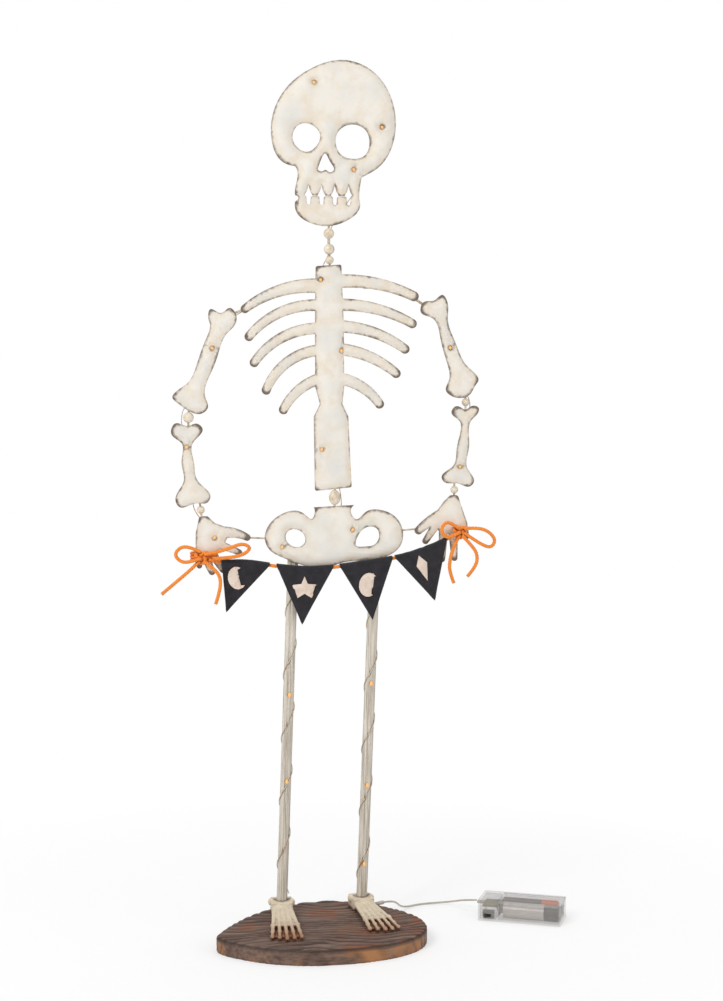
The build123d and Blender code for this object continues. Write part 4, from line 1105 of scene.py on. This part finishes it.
def printed_sleeve():
    """Foil sleeves: silver with a black end on the front cell, a copper band on the rear one."""
    material, surface, place = new_material("printed_cell_sleeve")
    turned = add(material, "Mapping", {"vector_type": "TEXTURE", "Location": BOX_CENTRE,
                                       "Rotation": (0, 0, BOX_TURN), "Vector": place})
    axes = add(material, "SeparateXYZ", {0: turned})
    black_band = add(material, "Math", {"operation": "GREATER_THAN", 1: 22 * MM, 0: axes.outputs["X"]})
    copper_band = add(material, "Math", {"operation": "GREATER_THAN", 1: 17 * MM, 0: axes.outputs["X"]})
    rear = add(material, "Math", {"operation": "GREATER_THAN", 1: 0.0, 0: axes.outputs["Y"]})
    scuffs = add(material, "TexNoise", {"Scale": 1 / (5 * MM), "Detail": 3.0, "Vector": place})
    silver = add(material, "Mix", {"data_type": "RGBA", 6: linear("#E6E0DC"), 7: linear("#B9B0AA"),
                                   0: scuffs})
    front_cell = add(material, "Mix", {"data_type": "RGBA", 7: linear("#0E0E10"), 0: black_band, 6: silver})
    rear_cell = add(material, "Mix", {"data_type": "RGBA", 6: linear("#6B6560"), 7: linear("#E0702C"),
                                      0: copper_band})
    colour = add(material, "Mix", {"data_type": "RGBA", 0: rear, 6: front_cell, 7: rear_cell})
    feed(surface, {"Base Color": colour, "Metallic": 0.25, "Roughness": 0.32})
    return material


def plated_contact():
    """Nickel-plated spring steel: bright, with faint drawing marks."""
    material, surface, place = new_material("nickel_plated_steel")
    marks = add(material, "TexNoise", {"Scale": 1 / (1.5 * MM), "Detail": 4.0, "Vector": place})
    rough = add(material, "MapRange", {"To Min": 0.18, "To Max": 0.36, "Value": marks})
    feed(surface, {"Roughness": rough, "Base Color": linear("#C9C6BF"), "Metallic": 1.0})
    return material


smoky = smoky_plastic()
nickel = plated_contact()
black_plastic = soft_pvc("black_moulded_nylon", "#26262A", "#1A1A1D")
board_green = soft_pvc("tinned_board_laminate", "#8E8A5E", "#6F6C46")
for node, finish in (("battery_case", smoky), ("battery_cover", smoky),
                     ("battery_cells", printed_sleeve()), ("contact_springs", nickel),
                     ("contact_plates", nickel), ("circuit_board", board_green),
                     ("switch_body", black_plastic), ("switch_knob", black_plastic),
                     ("base_screws", nickel), ("base_washers", nickel)):
    finish_node(node, finish)
print("battery box finished")

# %% [markdown]
# ## Floor, lights and world
# A white sheet, lit so that colours render as they are written. Three large soft lamps give the
# plates a gentle roll of light from the upper left, and the world fills the rest. Rays that
# look straight at the background see plain white.

# %% Floor, lights and world
FLOOR_SIZE = 6.0


def white_sweep():
    """Floor paint that shows the shadow to the camera and stays near white elsewhere."""
    material, surface, place = new_material("white_paper_sweep")
    feed(surface, {"Base Color": linear("#FFFFFF"), "Roughness": 0.9, "Specular IOR Level": 0.0})
    end = next(item for item in material.node_tree.nodes if item.type == "OUTPUT_MATERIAL")
    ray = add(material, "LightPath")
    seen = add(material, "Math", {"operation": "MAXIMUM", 0: ray.outputs["Is Camera Ray"],
                                  1: ray.outputs["Is Transmission Ray"]})
    away = add(material, "VectorMath", {"operation": "LENGTH", 0: place})
    clear = add(material, "MapRange", {"From Min": 0.12, "From Max": 0.55, "To Min": 0.45, "To Max": 1.0,
                                       "Value": away})
    amount = add(material, "Math", {"operation": "MULTIPLY", 0: seen, 1: clear})
    glow = add(material, "Emission", {"Color": (1, 1, 1, 1), "Strength": 1.0})
    both = add(material, "MixShader", {0: amount, 1: surface, 2: glow})
    feed(end, {"Surface": both})
    return material


sheet = bmesh.new()
bmesh.ops.create_grid(sheet, x_segments=2, y_segments=2, size=FLOOR_SIZE / 2)
floor_data = bpy.data.meshes.new("paper_floor")
sheet.to_mesh(floor_data)
sheet.free()
floor = bpy.data.objects.new("paper_floor", floor_data)
floor_data.materials.append(white_sweep())
bpy.context.scene.collection.objects.link(floor)

world = bpy.data.worlds.new("studio")
bpy.context.scene.world = world
world.use_nodes = True
ray = add(world, "LightPath")
seen = add(world, "Math", {"operation": "MAXIMUM", 0: ray.outputs["Is Camera Ray"],
                           1: ray.outputs["Is Transmission Ray"]})
level = add(world, "MapRange", {"Value": seen, "To Min": 0.5, "To Max": 1.0})
feed(world.node_tree.nodes["Background"], {"Strength": level, "Color": (1, 1, 1, 1)})


def soft_lamp(name, place, size, power):
    """A square lamp that faces the figure."""
    light = bpy.data.lights.new(name, "AREA")
    light.size = size
    light.energy = power
    lamp = bpy.data.objects.new(name, light)
    bpy.context.scene.collection.objects.link(lamp)
    lamp.location = place
    lamp.rotation_euler = (Vector((0.02, 0.03, 0.38)) - Vector(place)).to_track_quat("-Z", "Y").to_euler()
    return lamp


soft_lamp("key_lamp", (-1.5, -1.3, 1.9), 1.0, 29)
soft_lamp("fill_lamp", (1.7, -1.2, 1.0), 1.4, 7)
soft_lamp("top_lamp", (0.2, 0.6, 2.2), 1.2, 9)
bpy.context.scene.view_settings.view_transform = "Standard"
print("stage set")
